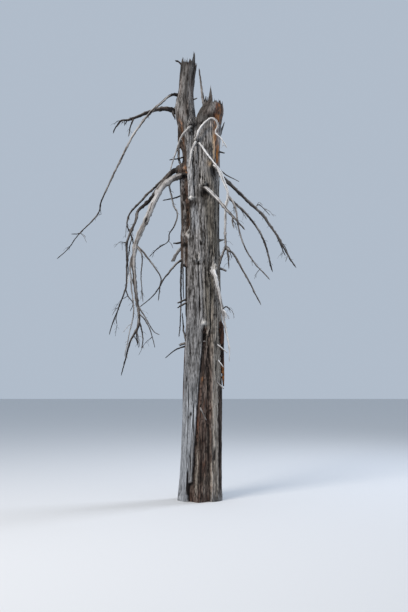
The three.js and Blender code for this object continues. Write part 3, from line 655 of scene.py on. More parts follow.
@dataclass(frozen=True)
class TrunkForm:
    """The trunk's form, with the sizes of its solid: two stems grown into one, from the ground to
    the fork."""

    fork_height: float = 4980.0
    merge_height: float = 1580.0
    left_radius: float = 131.0
    right_radius: float = 169.0
    neck_x: float = -54.0
    neck_depth: float = 85.0
    valley_softness: float = 30.0
    depth_at_ground: float = 0.95
    depth_at_fork: float = 1.15
    edges: tuple[Station, ...] = (
        Station(0, -275, 272),
        Station(450, -250, 260),
        Station(1700, -214, 258),
        Station(2600, -177, 250),
        Station(4480, -216, 248),
        Station(4980, -321, 289),
    )
    flutes: tuple[Flute, ...] = (Flute(3, 7, 30, 9000), Flute(5, 5, 0, -6500), Flute(8, 3.5, 60, 14000))
    ribs: int = 8
    rib_depth: float = 9.0
    rib_start: float = 25.0
    rib_waves: tuple[tuple[float, float], ...] = ((4.0, 7000.0), (1.5, 1300.0))
    rib_fade: float = 400.0
    flare_height: float = 380.0
    flare_depth: float = 18.0
    buttresses: int = 5
    buttress_start: float = 20.0

    def section(self, z: Array) -> dict[str, Array]:
        """The trunk's section: two circles, one for each stem, which part as it forks.

        Args:
            z: heights.

        Returns:
            How far it has forked, its middle, the stems' offsets and radii, and its depth share.
        """
        left, right = edge_curve(self.edges, "left", z), edge_curve(self.edges, "right", z)
        forked = ease(self.fork_height - self.merge_height, self.fork_height, z)
        left_radius = mix((right - left) / 2, self.left_radius, forked)
        right_radius = mix((right - left) / 2, self.right_radius, forked)
        middle = mix((left + right) / 2, self.neck_x, forked)
        return {
            "forked": forked,
            "middle": middle,
            "left_radius": left_radius,
            "right_radius": right_radius,
            "left_offset": left + left_radius - middle,
            "right_offset": right - right_radius - middle,
            "depth": mix(self.depth_at_ground, self.depth_at_fork, forked),
        }

    @staticmethod
    def circle_reach(turn: Array, offset: Array, radius: Array) -> Array:
        """How far a circle reaches along a turn, from a middle that lies `offset` to its left."""
        across = offset * np.cos(turn)
        return offset * np.sin(turn) + np.sqrt(np.maximum(0.0, radius * radius - across * across))

    def reach(self, degrees: Array, z: Array) -> Array:
        """The radius from the section's middle: the larger of the two stems' circles with the
        corner between them rounded, plus slow flutes, a root flare and ribs.

        Args:
            degrees: turns.
            z: heights.

        Returns:
            The radius for each.
        """
        turn = np.radians(degrees)
        cut = self.section(z)
        left = self.circle_reach(turn, cut["left_offset"], cut["left_radius"])
        right = self.circle_reach(turn, cut["right_offset"], cut["right_radius"])
        softness = self.valley_softness * cut["forked"] + 1e-6
        overlap = np.maximum(0.0, softness - np.abs(left - right))
        stems = np.maximum(left, right) + overlap * overlap / (4 * softness)
        reach = np.maximum(stems, self.neck_depth * cut["forked"])
        for flute in self.flutes:
            twist = math.radians(flute.start) + 2 * math.pi * z / flute.pitch
            reach = reach + flute.depth * (1 - cut["forked"]) * np.cos(flute.count * turn + twist)
        low = np.maximum(0.0, 1 - z / self.flare_height)
        buttress = np.cos(self.buttresses * turn + math.radians(self.buttress_start))
        return reach + self.flare_depth * low * low * buttress + self.rib_lift(degrees, z)

    def rib_lift(self, degrees: Array, z: Array) -> Array:
        """Broad ribs with narrow grooves between them, which wander by two slow waves of the
        groove's turn and fade out below the fork.

        Args:
            degrees: turns.
            z: heights.

        Returns:
            What the ribs add to the radius.
        """
        wander = sum(turn * np.sin(2 * math.pi * z / pitch) for turn, pitch in self.rib_waves)
        rounded = np.abs(np.sin(self.ribs * np.radians(degrees - (self.rib_start + wander)) / 2))
        fade = 1 - ease(self.fork_height - self.rib_fade, self.fork_height, z)
        return self.rib_depth * (2 * rounded - 1) * fade

    def place(self, degrees: Array, z: Array, reach: Array) -> Array:
        """The places that lie `reach` from the section's middle along each turn."""
        cut = self.section(z)
        return ring_places(cut["middle"], cut["depth"], reach, degrees, z)

    def turn_of(self, point: Array) -> tuple[float, float]:
        """Where a place lies in its section: the angle and the length of its offset from the middle.

        Args:
            point: the place.

        Returns:
            Its turn and its distance from the section's middle.
        """
        cut = self.section(point[2])
        x, y = point[0] - cut["middle"], -point[1] / cut["depth"]
        return math.degrees(math.atan2(x, y)), math.hypot(x, y)


@dataclass(frozen=True)
class WoodRelief:
    """The relief of weathered wood: ridges, bundles of fibres, drying cracks and torn layers, all
    stretched along the grain. Sizes are across the grain, along it, and the relief's own depth."""

    ridge: Place = (36.0, 700.0, 4.0)
    bundle: Place = (13.0, 240.0, 4.0)
    fibre: Place = (6.5, 100.0, 2.6)
    crack: Place = (30.0, 560.0, 14.0)
    fine_crack: Place = (14.0, 190.0, 5.0)
    layer: Place = (40.0, 220.0, 3.5)
    rot: Place = (14.0, 80.0, 8.0)
    rot_crack: Place = (60.0, 48.0, 5.0)
    streaks: tuple[tuple[float, float, float, int], ...] = (
        (0.27, 12.0, 95.0, 11),
        (0.15, 6.0, 80.0, 12),
        (0.25, 20.0, 280.0, 13),
        (0.11, 36.0, 520.0, 14),
        (0.22, 11.0, 26.0, 16),
    )
    streak_gain: float = 3.9

    @staticmethod
    def along_grain(line: Array, grain: Array) -> Array:
        """Where a pattern runs along the grain. No crack turns across it.

        Args:
            line: the pattern.
            grain: places in the grain's own space.

        Returns:
            1 where the pattern's contours run along the grain, and 0 where they run across it.
        """
        steps = [np.linalg.norm(np.gradient(grain, axis=axis), axis=-1) + 0.01 for axis in (0, 1)]
        along, across = (np.abs(np.gradient(line, axis=axis)) / steps[axis] for axis in (0, 1))
        return 1 - ease(0.12, 0.35, along / (across + 0.0001))

    def cracks(
        self, grain: Array, sizes: Place, seed: int, width: tuple, cover: tuple, where: Pattern
    ) -> Array:
        """Drying cracks: the lines along the grain where a stretched pattern crosses zero, here and
        there only.

        Args:
            grain: places in the grain's own space.
            sizes: the cracks' sizes.
            seed: picks the pattern.
            width: where the pattern's crack ends, inside and outside.
            cover: between which values of `where` the cracks begin.
            where: the pattern of the cracked areas.

        Returns:
            The cracks from 0 to 1.
        """
        line = swing(grain, *sizes[:2], seed)
        return groove(*width, line) * (ease(*cover, where.at(grain)) * self.along_grain(line, grain))

    def of(self, grain: Array, smooth: Array, rotten: Array) -> tuple[Array, Array, Array]:
        """The lift of the surface and where it is cracked and streaked.

        Args:
            grain: places in the grain's own space.
            smooth: how smooth and silvery the wood is, from 0 to 1.
            rotten: how rotten it is, from 0 to 1.

        Returns:
            The lift in millimetres, the cracks from 0 to 1, and pale and dark streaks from 0 to 1.
        """
        rough = 1 - 0.45 * smooth
        raised = enumerate((self.ridge, self.bundle, self.fibre), start=1)
        lift = rough * sum(sizes[2] * swing(grain, *sizes[:2], seed) for seed, sizes in raised)
        layer = ease(-0.06, 0.06, swing(grain, *self.layer[:2], 4))
        lift = lift + self.layer[2] * layer * rough * (1 - rotten)
        crack = self.cracks(grain, self.crack, 5, (0.02, 0.16), (0.42, 0.6), Pattern.CRACKED)
        fine = self.cracks(grain, self.fine_crack, 7, (0.04, 0.24), (0.43, 0.58), Pattern.FINE_CRACKED)
        lift = lift - self.crack[2] * crack * (1 - 0.35 * smooth) - self.fine_crack[2] * fine
        crack = np.maximum(crack, 0.7 * fine)
        block = swing(grain, *self.rot[:2], 9)
        across = groove(0.02, 0.12, swing(grain, *self.rot_crack[:2], 10))
        across = across * ease(0.5, 0.65, Pattern.ROT_CRACKED.at(grain))
        lift = lift + rotten * (self.rot[2] * block - self.rot_crack[2] * across)
        crack = np.maximum(crack, 0.7 * rotten * across)
        streak = sum(share * noise(grain, wide, tall, seed) for share, wide, tall, seed in self.streaks)
        return lift, crack, contrast(streak, self.streak_gain)


@dataclass(frozen=True)
class TrunkDress:
    """What the trunk's surface carries: strips, hollows, knots, cracks and patches of colour."""

    shell: Strip = Strip(3050, 4360, -118, -72, 58, (1, 0))
    shell_jag: float = 45.0
    shell_jag_turn: float = 4.0
    shell_left: float = -95.0
    trough: Strip = Strip(3440, 4290, -72, -48, 30, (2, 40))
    rib: Strip = Strip(3860, 4400, -46, -22, 22, (1, 18))
    split: Strip = Strip(1850, 2850, 26, 36, 16, (1, 0))
    layer: Strip = Strip(2380, 3450, -112, -77, 14, (2, 60))
    rot_beside: Strip = Strip(120, 1990, 26, 38, 0, (2, 60))
    slot: Strip = Strip(1980, 2200, 3, 9, 0, (1, 0))
    back_hollow: Strip = Strip(250, 1750, 172, 179.9, 0, (5, 0))
    recess_top: float = 2170.0
    recess_left: tuple[float, float] = (-28.0, 2.5)
    recess_right: tuple[float, float] = (35.0, 27.0)
    recess_depth: float = 42.0
    recess_bend: float = 1.3
    recess_foot: float = 245.0
    recess_foot_left: float = 10.0
    boss_underside: float = 0.4
    knots: tuple[Knot, ...] = (
        Knot(-88, 4265, 42, 85, 100, 0.3),
        Knot(-90, 4640, 34, 95, 170),
        Knot(-24, 4865, 40, 42, 60),
        Knot(8, 4668, 30, 36, 45),
        Knot(55, 4250, -34, 45, 85),
        Knot(18, 3945, -38, 42, 55),
        Knot(15, 4060, 24, 40, 60, 0.5),
        Knot(-64, 3420, 36, 45, 75, 0.4),
        Knot(-4, 3350, 14, 40, 60, 0.2),
        Knot(-20, 3090, 22, 55, 80, 0.4),
        Knot(37, 2960, 46, 48, 110, 0.5),
        Knot(4, 2250, 20, 34, 34, 0.5),
        Knot(6, 2095, -34, 34, 85),
        Knot(150, 4330, 34, 60, 90, 0.5),
        Knot(-160, 4790, 30, 55, 80, 0.3),
        Knot(135, 3600, 34, 55, 90, 0.5),
        Knot(-165, 2890, 34, 55, 90, 0.6),
        Knot(100, 2300, 16, 60, 90, 0.4),
        Knot(-120, 1500, 16, 60, 100, 0.5),
    )
    small_knots: tuple[Knot, ...] = (
        Knot(-28, 4745, -26, 26, 34),
        Knot(4, 4635, -12, 11, 18),
        Knot(-7, 4652, 14, 18, 22, 0.9),
        Knot(-8, 4354, -13, 8, 22),
        Knot(4, 4157, -13, 8, 26),
        Knot(30, 4040, -20, 18, 26),
        Knot(-54, 3475, 9, 30, 62, 0.8),
        Knot(-53, 3375, 9, 30, 60, 0.8),
        Knot(84, 3115, 36, 36, 30, 0.7),
        Knot(-72, 3280, -20, 18, 26),
        Knot(-36, 3884, 10, 60, 22, 0.8),
        Knot(-4, 3322, 8, 22, 32, 0.9),
        Knot(-4, 3275, -5, 16, 10),
        Knot(-17, 3018, -7, 34, 12),
        Knot(-17, 3075, 6, 46, 50, 0.6),
        Knot(4, 2250, 5, 60, 50, 0.45),
        Knot(-13, 2500, -8, 12, 60),
        Knot(-52, 1540, -12, 20, 36),
        Knot(-32, 1100, -14, 12, 24),
        Knot(-38, 1880, -10, 10, 90),
        Knot(9, 2022, 9, 30, 11, 0.7),
        Knot(160, 1250, -16, 22, 46),
        Knot(-150, 2150, -14, 16, 50),
        Knot(120, 3050, -18, 20, 40),
        Knot(178, 3500, 14, 24, 40, 0.7),
        Knot(140, 700, 12, 34, 60, 0.5),
    )
    seams: tuple[Seam, ...] = (
        Seam(((-9, 4878), (-22, 4305), (-23, 3848), (-20, 3651)), 4, 13),
        Seam(((29, 2553), (30, 2100), (30, 1658)), 7, 18),
        Seam(((-14, 3400), (-16, 2900), (-12, 2480)), 4, 12),
        Seam(((8, 3300), (10, 2700), (14, 2260)), 5, 14),
        Seam(((40, 3500), (44, 3000), (42, 2600)), 6, 14),
        Seam(((70, 1500), (71, 900), (73, 250)), 9, 26),
        Seam(((-58, 2400), (-62, 1700), (-60, 1000)), 4, 10),
        Seam(((-40, 1500), (-41, 900), (-44, 420)), 4, 10),
        Seam(((-38, 380), (-38, 40)), 9, 20),
        Seam(((-150, 4700), (-155, 3800), (-148, 3100)), 8, 22),
        Seam(((165, 2600), (170, 1700), (164, 900)), 8, 22),
        Seam(((120, 4500), (117, 4000), (122, 3300)), 6, 16),
        Seam(((-120, 2500), (-128, 1600), (-124, 600)), 6, 16),
        Seam(((200, 1500), (196, 900), (201, 100)), 7, 18),
    )
    # Zones whose dark end is one of the near-black colours paint shade into the trough, the recesses and
    # other dark parts of the side; their pale ends are the wood's own colours.
    zones: tuple[Zone, ...] = (
        Zone(4290, 4880, (-100, -100), (-52, -50), Hue.CRACK_SHADE, Hue.BROWN, 0.92),
        Zone(4480, 4960, (-52, -50), (-38, -32), Hue.CRACK_SHADE, Hue.GREY_PALE, 0.7),
        Zone(4400, 4930, (-4, 2), (32, 34), Hue.CRACK_SHADE, Hue.GREY_PALE, 0.75, 5.0),
        Zone(3870, 4560, (-47, -44), (-25, -25), Hue.SILVER_DARK, Hue.SILVER_PALE, 0.5),
        Zone(3760, 3852, (-50, -50), (0, 0), Hue.CRACK_SHADE, Hue.GREY_DARK, 0.7, 4.0, 30.0),
        Zone(3460, 3760, (-38, -38), (-12, -14), Hue.SILVER_DARK, Hue.SILVER_PALE, 0.7, 4.0),
        Zone(3380, 3900, (12, 12), (62, 62), Hue.OLIVE_DARK, Hue.OLIVE_PALE, 0.7, 6.0, 160.0),
        Zone(2960, 3240, (4, 6), (34, 32), Hue.GREY_DARK, Hue.GREY_PALE, 0.5, 4.0),
        Zone(2340, 3080, (-125, -125), (-74, -74), Hue.INSIDE, Hue.ROT_DARK, 0.95),
        Zone(2430, 2880, (4, 5), (18, 18), Hue.CRACK_SHADE, Hue.OLIVE_PALE, 0.6),
        Zone(2470, 2900, (20, 20), (31, 31), Hue.OLIVE_DARK, Hue.BEIGE_PALE, 0.7),
        Zone(1500, 2250, (-40, -40), (2, 3), Hue.GREY_DARK, Hue.GREY_PALE, 0.5, 6.0, 200.0),
        Zone(1250, 2160, (0, 2), (42, 34), Hue.ROT_DARK, Hue.ROT_PALE, 0.9),
        Zone(1400, 2500, (36, 26), (100, 100), Hue.OLIVE_DARK, Hue.BEIGE_PALE, 0.55),
        Zone(1990, 2190, (0, 0), (13, 12), Hue.CRACK_SHADE, Hue.ROT_RED, 0.9, 2.0, 25.0),
        Zone(1990, 2230, (15, 15), (21, 21), Hue.GREY_DARK, Hue.BEIGE_PALE, 0.8, 2.5, 30.0),
        Zone(90, 900, (-40, -24), (33, 33), Hue.ROT_DARK, Hue.BEIGE_DARK, 0.6, 3.0, 150.0),
        Zone(90, 620, (-17, -15), (-9, -9), Hue.ROT_DARK, Hue.BEIGE_PALE, 0.75, 2.5),
        Zone(260, 480, (-4, -4), (6, 5), Hue.INSIDE, Hue.CRACK_SHADE, 0.85, 2.5, 40.0),
        Zone(90, 620, (9, 8), (16, 15), Hue.ROT_DARK, Hue.BEIGE_PALE, 0.65, 2.5),
        Zone(90, 1430, (34, 36), (63, 60), Hue.BEIGE_DARK, Hue.BEIGE_PALE, 0.95, 3.0, 110.0),
        Zone(90, 1500, (63, 62), (100, 100), Hue.CRACK_SHADE, Hue.BROWN, 0.9),
        Zone(1250, 2330, (-112, -112), (-74, -74), Hue.CRACK_SHADE, Hue.ROT_RED, 0.95),
        Zone(3520, 4330, (-125, -125), (-75, -75), Hue.CRACK_SHADE, Hue.GREY_PALE, 0.65),
        Zone(3060, 3520, (-125, -125), (-67, -67), Hue.INSIDE, Hue.BROWN, 0.95),
        Zone(60, 350, (-42, -42), (-34, -35), Hue.INSIDE, Hue.ROT_DARK, 0.95, 1.6, 20.0),
        Zone(3490, 3850, (-79, -79), (-48, -48), Hue.INSIDE, Hue.BROWN, 0.9, 2.5, 40.0),
        Zone(3100, 3400, (36, 36), (88, 88), Hue.OLIVE_DARK, Hue.OLIVE_PALE, 0.7, 5.0, 60.0),
        Zone(2780, 3110, (56, 58), (73, 74), Hue.OLIVE_DARK, Hue.BEIGE_PALE, 0.75, 3.0, 50.0),
    )
    # Patches of the near-black crack colour are painted shade.
    patches: tuple[Patch, ...] = (
        Patch(-60, 4262, 34, 32, Hue.ORANGE, 1.7),
        Patch(-20, 4850, 45, 45, Hue.ROT_DARK, 0.8),
        Patch(-62, 4780, 13, 150, Hue.ORANGE, 0.6),
        Patch(26, 4900, 55, 70, Hue.CRACK_SHADE, 0.9),
        Patch(55, 4540, 24, 170, Hue.TAN, 1.4),
        Patch(42, 4330, 30, 40, Hue.TAN, 1.0),
        Patch(62, 4800, 34, 250, Hue.ORANGE, 1.0),
        Patch(72, 4470, 34, 130, Hue.ORANGE, 1.3),
        Patch(-92, 4262, 60, 80, Hue.CRACK_SHADE, 1.5),
        Patch(-54, 3410, 42, 78, Hue.GREY_PALE, 1.7),
        Patch(2, 1570, 16, 90, Hue.ORANGE, 0.6),
        Patch(8, 3925, 60, 60, Hue.CRACK_SHADE, 1.1),
        Patch(48, 4215, 55, 90, Hue.CRACK_SHADE, 0.9),
        Patch(-17, 1325, 9, 34, Hue.BLEACHED, 1.0),
        Patch(-16, 1262, 10, 18, Hue.CRACK_SHADE, 1.2),
        Patch(-40, 1060, 34, 22, Hue.GREY_DARK, 0.7),
        Patch(-42, 3872, 42, 12, Hue.BLEACHED, 1.2),
        Patch(-62, 3850, 12, 420, Hue.ORANGE, 0.55),
        Patch(-12, 950, 16, 180, Hue.ROT_RED, 0.8),
        Patch(12, 420, 28, 200, Hue.ROT_RED, 0.6),
        Patch(170, 3200, 60, 260, Hue.TAN, 0.5),
        Patch(-140, 3500, 50, 300, Hue.ORANGE, 0.45),
        Patch(130, 1100, 60, 300, Hue.ROT_RED, 0.5),
    )

    def shell_share(self, skin: Skin) -> Array:
        """1 on the shell and 0 beside it; its lower end is a ragged ledge."""
        ledge = self.shell_jag * np.sin(skin.turn / self.shell_jag_turn) - 55 * skin.ragged
        return self.shell.mask(replace(skin, z=skin.z + ledge * (skin.z < 3500)), 2.2)

    def rotten(self, skin: Skin) -> Array:
        """Where the wood is rotten: the recess, the trough, the slot under a boss and the back's
        own hollow.

        Args:
            skin: places on the trunk.

        Returns:
            How rotten each is, from 0 to 1.
        """
        share = self.shell_share(skin)
        edge = 4 * share * (1 - share) * (skin.turn > self.shell_left)
        whole = self.recess(skin) + self.trough.mask(skin) + edge
        whole = whole + self.rot_beside.mask(skin) * 0.8 + self.slot.mask(skin)
        return np.clip(whole + self.back_hollow.mask(skin) * 0.8, 0.0, 1.0)

    def recess(self, skin: Skin) -> Array:
        """The long recess of the lower front, whose left side slants across the trunk.

        Args:
            skin: places on the trunk.

        Returns:
            1 inside the recess and 0 outside it.
        """
        rise = np.clip(skin.z / self.recess_top, 0.0, 1.0)
        left = mix(*self.recess_left, rise**self.recess_bend)
        left = left - self.recess_foot_left * (1 - ease(self.recess_foot - 25, self.recess_foot + 15, skin.z))
        right = mix(*self.recess_right, rise) + 2 * skin.ragged
        open_below = 1 - ease(self.recess_top - 90, self.recess_top, skin.z + 60 * skin.ragged)
        return band(left + 1.2 * skin.ragged, right, 1.6, skin.turn) * open_below

    def silver(self, skin: Skin) -> Array:
        """Where the wood is smooth and silvery: the lower left, and patches of the back.

        Args:
            skin: places on the trunk.

        Returns:
            How silvery each is, from 0 to 1.
        """
        turn, z = skin.turn, skin.z
        rise = 0.6 * ease(1000.0, 1600.0, z) + 0.4 * ease(1900.0, 2900.0, z)
        back = band(95.0, 150.0, 14.0, turn) * (1 - ease(1500.0, 2600.0, z))
        return np.clip(band(-128.0, 4.0, 9.0, turn) * (1 - rise) + 0.8 * back, 0.0, 1.0)

    def olive(self, skin: Skin) -> Array:
        """Where thin algae tint the wood brown and olive: the right-hand side of the middle.

        Args:
            skin: places on the trunk.

        Returns:
            How strong the tint is, from 0 to 1.
        """
        right = band(8.0, 130.0, 12.0, skin.turn) * band(1500.0, 4150.0, 260.0, skin.z)
        back = band(-179.0, -140.0, 12.0, skin.turn) * band(600.0, 3600.0, 300.0, skin.z)
        return np.clip(right + 0.7 * back, 0.0, 1.0)

    def knot_lift(self, skin: Skin, knots: tuple[Knot, ...]) -> Array:
        """The sum of the knots' bells. A boss ends more abruptly below than above."""
        return sum(knot.lift * knot.bell(skin, self.boss_underside) for knot in knots) + 0 * skin.turn

    def seam_depth(self, skin: Skin, wander: Array) -> Array:
        """How deep the named seams cut: the deepest of the bells across each seam's line.

        Args:
            skin: places on the trunk.
            wander: how the seams wander, from -1 to 1.

        Returns:
            The depth in millimetres.
        """
        depth = 0 * skin.turn
        for seam in self.seams:
            places = np.array(sorted(seam.places, key=lambda one: one[1]))
            middle = np.interp(skin.z, places[:, 1], places[:, 0])
            ends = band(places[0, 1], places[-1, 1], 60.0, skin.z)
            across = np.radians(wrapped(skin.degrees - middle)) * skin.reach + 9 * wander
            depth = np.maximum(depth, seam.depth * ends * np.exp(-((across / seam.width) ** 2)))
        return depth


class Trunk:
    """The trunk's skin: its form, the dress of its surface and the wood's relief."""

    columns = 480
    ledge_columns = 76
    ledge_half_turn = 5.5
    rows_per_band = 160
    bands = 4
    crotch_rows = 14
    fray = 1.5

    def __init__(self, form: TrunkForm, dress: TrunkDress, relief: WoodRelief, collars: list[Knot]) -> None:
        """Keeps the parts of the skin, and sets its columns closer at the shell's steep edge.

        Args:
            form: the trunk's form.
            dress: what its surface carries.
            relief: the wood's relief.
            collars: swellings where limbs leave the trunk.
        """
        self.form = form
        self.dress = dress
        self.relief = relief
        self.collars = tuple(collars)
        even = np.arange(self.columns) * 360.0 / self.columns
        steep = np.linspace(-self.ledge_half_turn, self.ledge_half_turn, self.ledge_columns)
        self.turns = np.unique(np.concatenate([even, 360.0 + dress.shell.right + steep]))[None, :]

    def plain_lift(self, skin: Skin) -> Array:
        """What strips, recess and knots add to the radius, as on the solid but with crisp sides.

        Args:
            skin: places on the trunk.

        Returns:
            What they add at each.
        """
        dress = self.dress
        lift = dress.shell.depth * dress.shell_share(skin)
        lift = lift + dress.rib.depth * dress.rib.mask(skin)
        lift = lift - dress.trough.depth * dress.trough.mask(skin, 2.4)
        lift = lift - dress.split.depth * dress.split.mask(skin, 3.0, 60.0)
        lift = lift + dress.layer.depth * dress.layer.mask(skin, 2.0, 60.0)
        lift = lift - dress.recess_depth * dress.recess(skin)
        return lift + dress.knot_lift(skin, dress.knots) * (1 + 0.35 * skin.ragged)

    def grain_space(self, base: Array, skin: Skin) -> Array:
        """Places for the grain's noise: they wander slowly and close up towards each knot, so that
        the fibres flow round it.

        Args:
            base: the carved trunk's points.
            skin: the same places, by turn and height.

        Returns:
            The places in the grain's own space.
        """
        slow = np.stack([Pattern.SLOW_X.at(base), Pattern.SLOW_Y.at(base)], -1)
        quick = np.stack([Pattern.QUICK_X.at(base), Pattern.QUICK_Y.at(base)], -1)
        grain = base.copy()
        grain[..., :2] += 38 * (slow - 0.5) + 5 * (quick - 0.5)
        turn = np.radians(skin.degrees)
        tangent = np.stack([np.cos(turn), np.sin(turn)], axis=-1)
        taken = 0 * skin.turn
        for knot in self.dress.knots + self.collars:
            aside = np.radians(wrapped(skin.degrees - knot.turn)) * skin.reach
            up = (skin.z - knot.z) / (1.6 * knot.tall)
            near = np.minimum(np.exp(-((aside / (1.5 * knot.wide)) ** 2) - up**2), 1 - taken)
            taken = taken + near
            grain[..., :2] -= (0.5 * aside * near)[..., None] * tangent
        return grain

    def surface_grid(self) -> tuple[Array, Array, Array]:
        """The whole skin as one grid.

        Returns:
            Its places, colours and normals.
        """
        form, dress = self.form, self.dress
        top = form.fork_height
        degrees = self.turns
        z = np.linspace(0.0, top, self.rows_per_band * self.bands + 1)[:, None]
        reach = form.reach(degrees, z)
        base = form.place(degrees, z, reach)
        ragged = 0.6 * Pattern.RAGGED.swing(base) + 0.4 * Pattern.FRAYED.swing(base)
        skin = Skin(degrees, z, reach, ragged)
        smooth, rotten, share = dress.silver(skin), dress.rotten(skin), dress.shell_share(skin)
        form_lift = self.plain_lift(skin)
        carved = form.place(degrees, z, reach + self.plain_lift(replace(skin, ragged=0 * ragged)))
        grain = self.grain_space(carved, skin)
        lift, crack, streak = self.relief.of(grain, smooth * (1 - rotten), rotten)
        seams = dress.seam_depth(skin, Pattern.SEAM.swing(base))
        crack = np.maximum(crack, np.clip(seams / 12.0, 0.0, 1.0))
        collars = dress.knot_lift(skin, self.collars)
        lift = lift - seams + dress.knot_lift(skin, dress.small_knots) + collars
        settle = ease(0.0, 60.0, z) * (1 - 0.6 * ease(top - 90, top, z))
        inset = 14.0 * ease(top - 190, top, z + 70 * ragged)
        fray = self.fray * 4 * share * (1 - share) * Pattern.SHELL_EDGE.swing(carved)
        grid = form.place(degrees + fray, z, reach + form_lift + lift * settle - inset)
        # The lift that the painted shade follows; most of the knots' and collars' swelling is left out so
        # that no ring of painted shade falls round them.
        relief = lift + form_lift - 0.8 * (dress.knot_lift(skin, dress.knots) + collars)
        colours = self.colours(skin, grain, (smooth, rotten, crack, streak, share), relief)
        return grid, colours, grid_normals(grid)

    def colours(self, skin: Skin, grain: Array, masks: tuple, lift: Array) -> Array:
        """Deals out the plain wood colours by place, streak and rot, with painted shade in cracks, hollows
        and under bosses and a painted highlight on raised edges.

        Args:
            skin: the trunk's places.
            grain: the same in the grain's own space.
            masks: how smooth, rotten, cracked and streaked the wood is, and where its shell is.
            lift: the surface's lift, whose hollows get painted shade and whose raised edges a painted
                highlight.

        Returns:
            Linear colours.
        """
        dress = self.dress
        smooth, rotten, crack, streak, shell = (one[..., None] for one in masks)
        silver_share = 0.04 + 0.44 * streak + 0.42 * Pattern.SILVER.sharp(grain, 3.2)
        silver = Hue.SILVER_DARK.to(Hue.SILVER_PALE, silver_share)
        colour = mix(Hue.GREY_DARK.to(Hue.GREY_PALE, streak), silver, smooth)
        tint = dress.olive(skin)[..., None] * (0.45 + 0.55 * Pattern.OLIVE.sharp(grain, 2.0))
        colour = mix(colour, Hue.OLIVE_DARK.to(Hue.OLIVE_PALE, streak), tint)
        rot = Hue.ROT_DARK.to(Hue.ROT_PALE, 0.3 * Pattern.FLAKE.sharp(grain, 2.2) + 0.7 * streak)
        rot = mix(rot, Hue.ROT_RED.tone, 0.45 * Pattern.RED.sharp(grain, 3.0))
        colour = mix(colour, rot, np.clip(1.15 * rotten, 0.0, 1.0))
        for zone in dress.zones:
            colour = mix(colour, zone.dark.to(zone.pale, 0.1 + 0.8 * streak), zone.mask(skin)[..., None])
        # The shell's steep edge is darkened with grey streaks: painted shade on its wall, over the rot that
        # the wood has there.
        rim = band(0.55, 0.85, 0.12, shell) * (skin.turn > dress.shell_left)[..., None]
        colour = mix(colour, Hue.CRACK_SHADE.to(Hue.GREY_PALE, streak), 0.8 * rim)
        mottle = Pattern.MOTTLE.sharp(grain, 3.0)
        for patch in dress.patches:
            near = Knot(patch.turn, patch.z, 1.0, patch.wide, patch.tall).bell(skin)
            colour = patch.over(colour, near[..., None], streak, mottle)
        for knot in dress.knots + dress.small_knots:
            near = knot.bell(skin, dress.boss_underside)[..., None]
            if knot.lift > 0:
                tip = 0.75 * knot.pale * ease(0.2, 0.75, near) * (0.15 + 0.85 * streak) * (1 - shell)
                colour = mix(colour, Hue.BLEACHED.tone, tip)
                # A painted shadow below each boss, darker the paler the boss.
                below, tall, wide = knot.z - 0.75 * knot.tall, 0.45 * knot.tall, 0.8 * knot.wide
                under = replace(knot, z=below, tall=tall, wide=wide).bell(skin)[..., None]
                colour = mix(colour, Hue.CRACK_SHADE.tone, 0.6 * under * knot.pale)
            else:
                # Hollow knots and holes are filled with near-black painted shade.
                colour = mix(colour, Hue.INSIDE.tone, np.clip(1.2 * near, 0.0, 0.92))
        # Painted shade and highlight: places sunk below their neighbourhood are darkened, places raised above
        # it are made paler.
        hollow = blurred(lift, 5, 5) - lift
        wide_hollow_shade = blurred(lift, 14, 12) - lift
        dark = np.clip(hollow / 8.0, 0.0, 1.0) * 0.6 + np.clip(wide_hollow_shade / 34.0, 0.0, 1.0) * 0.45
        colour = colour * (1 + 0.5 * np.clip(-hollow / 7.0, 0.0, 1.0)[..., None])
        # Cracks and seams are darkened too: painted shade in them.
        shade = np.clip(dark + 0.74 * crack[..., 0], 0.0, 0.9)[..., None]
        return mix(colour, Hue.CRACK_SHADE.tone, shade)

    def crotch(self, row: Array) -> tuple[Array, Array]:
        """Rows that close the trunk over the fork: they shrink towards the middle and sink into
        torn wood.

        Args:
            row: the skin's highest row.

        Returns:
            The rows and their colours: dark grey torn wood where it stands up, and near-black painted shade
                where it sinks deepest.
        """
        middle = row.mean(axis=0)
        share = np.linspace(1.0, 0.0, self.crotch_rows + 1)[1:-1, None, None]
        rows = middle + (row - middle)[None] * share
        torn = Pattern.TORN.at(rows * np.array([1.0, 1.0, 0.2]))
        rows[..., 2] += (torn - 0.75) * 70 * (1 - share[..., 0])
        # Painted shade: the lower the torn wood sinks, the nearer to black it is.
        return rows, Hue.INSIDE.to(Hue.GREY_DARK, torn[..., None])

    def pieces(self) -> list[Surface]:
        """The skin in bands of equal height, each closed at both ends inside the wood.

        Returns:
            The bands from the ground up; the last one also holds the torn wood in the fork.
        """
        skin = self.surface_grid()
        top, dark = self.crotch(skin[0][-1])
        caps = (top, dark, np.broadcast_to(UP, top.shape))
        whole = [np.concatenate(pair) for pair in zip(skin, caps)]
        made = []
        for first in range(0, self.bands * self.rows_per_band, self.rows_per_band):
            is_last = first == (self.bands - 1) * self.rows_per_band
            rows = slice(first, None if is_last else first + self.rows_per_band + 1)
            made.append(banded(*(values[rows] for values in whole)))
        return made


@dataclass(frozen=True)
class Spike:
    """A spike of a leader's broken rim: its turn, how far it rises and how wide it is in degrees."""

    turn: float
    rise: float
    wide: float


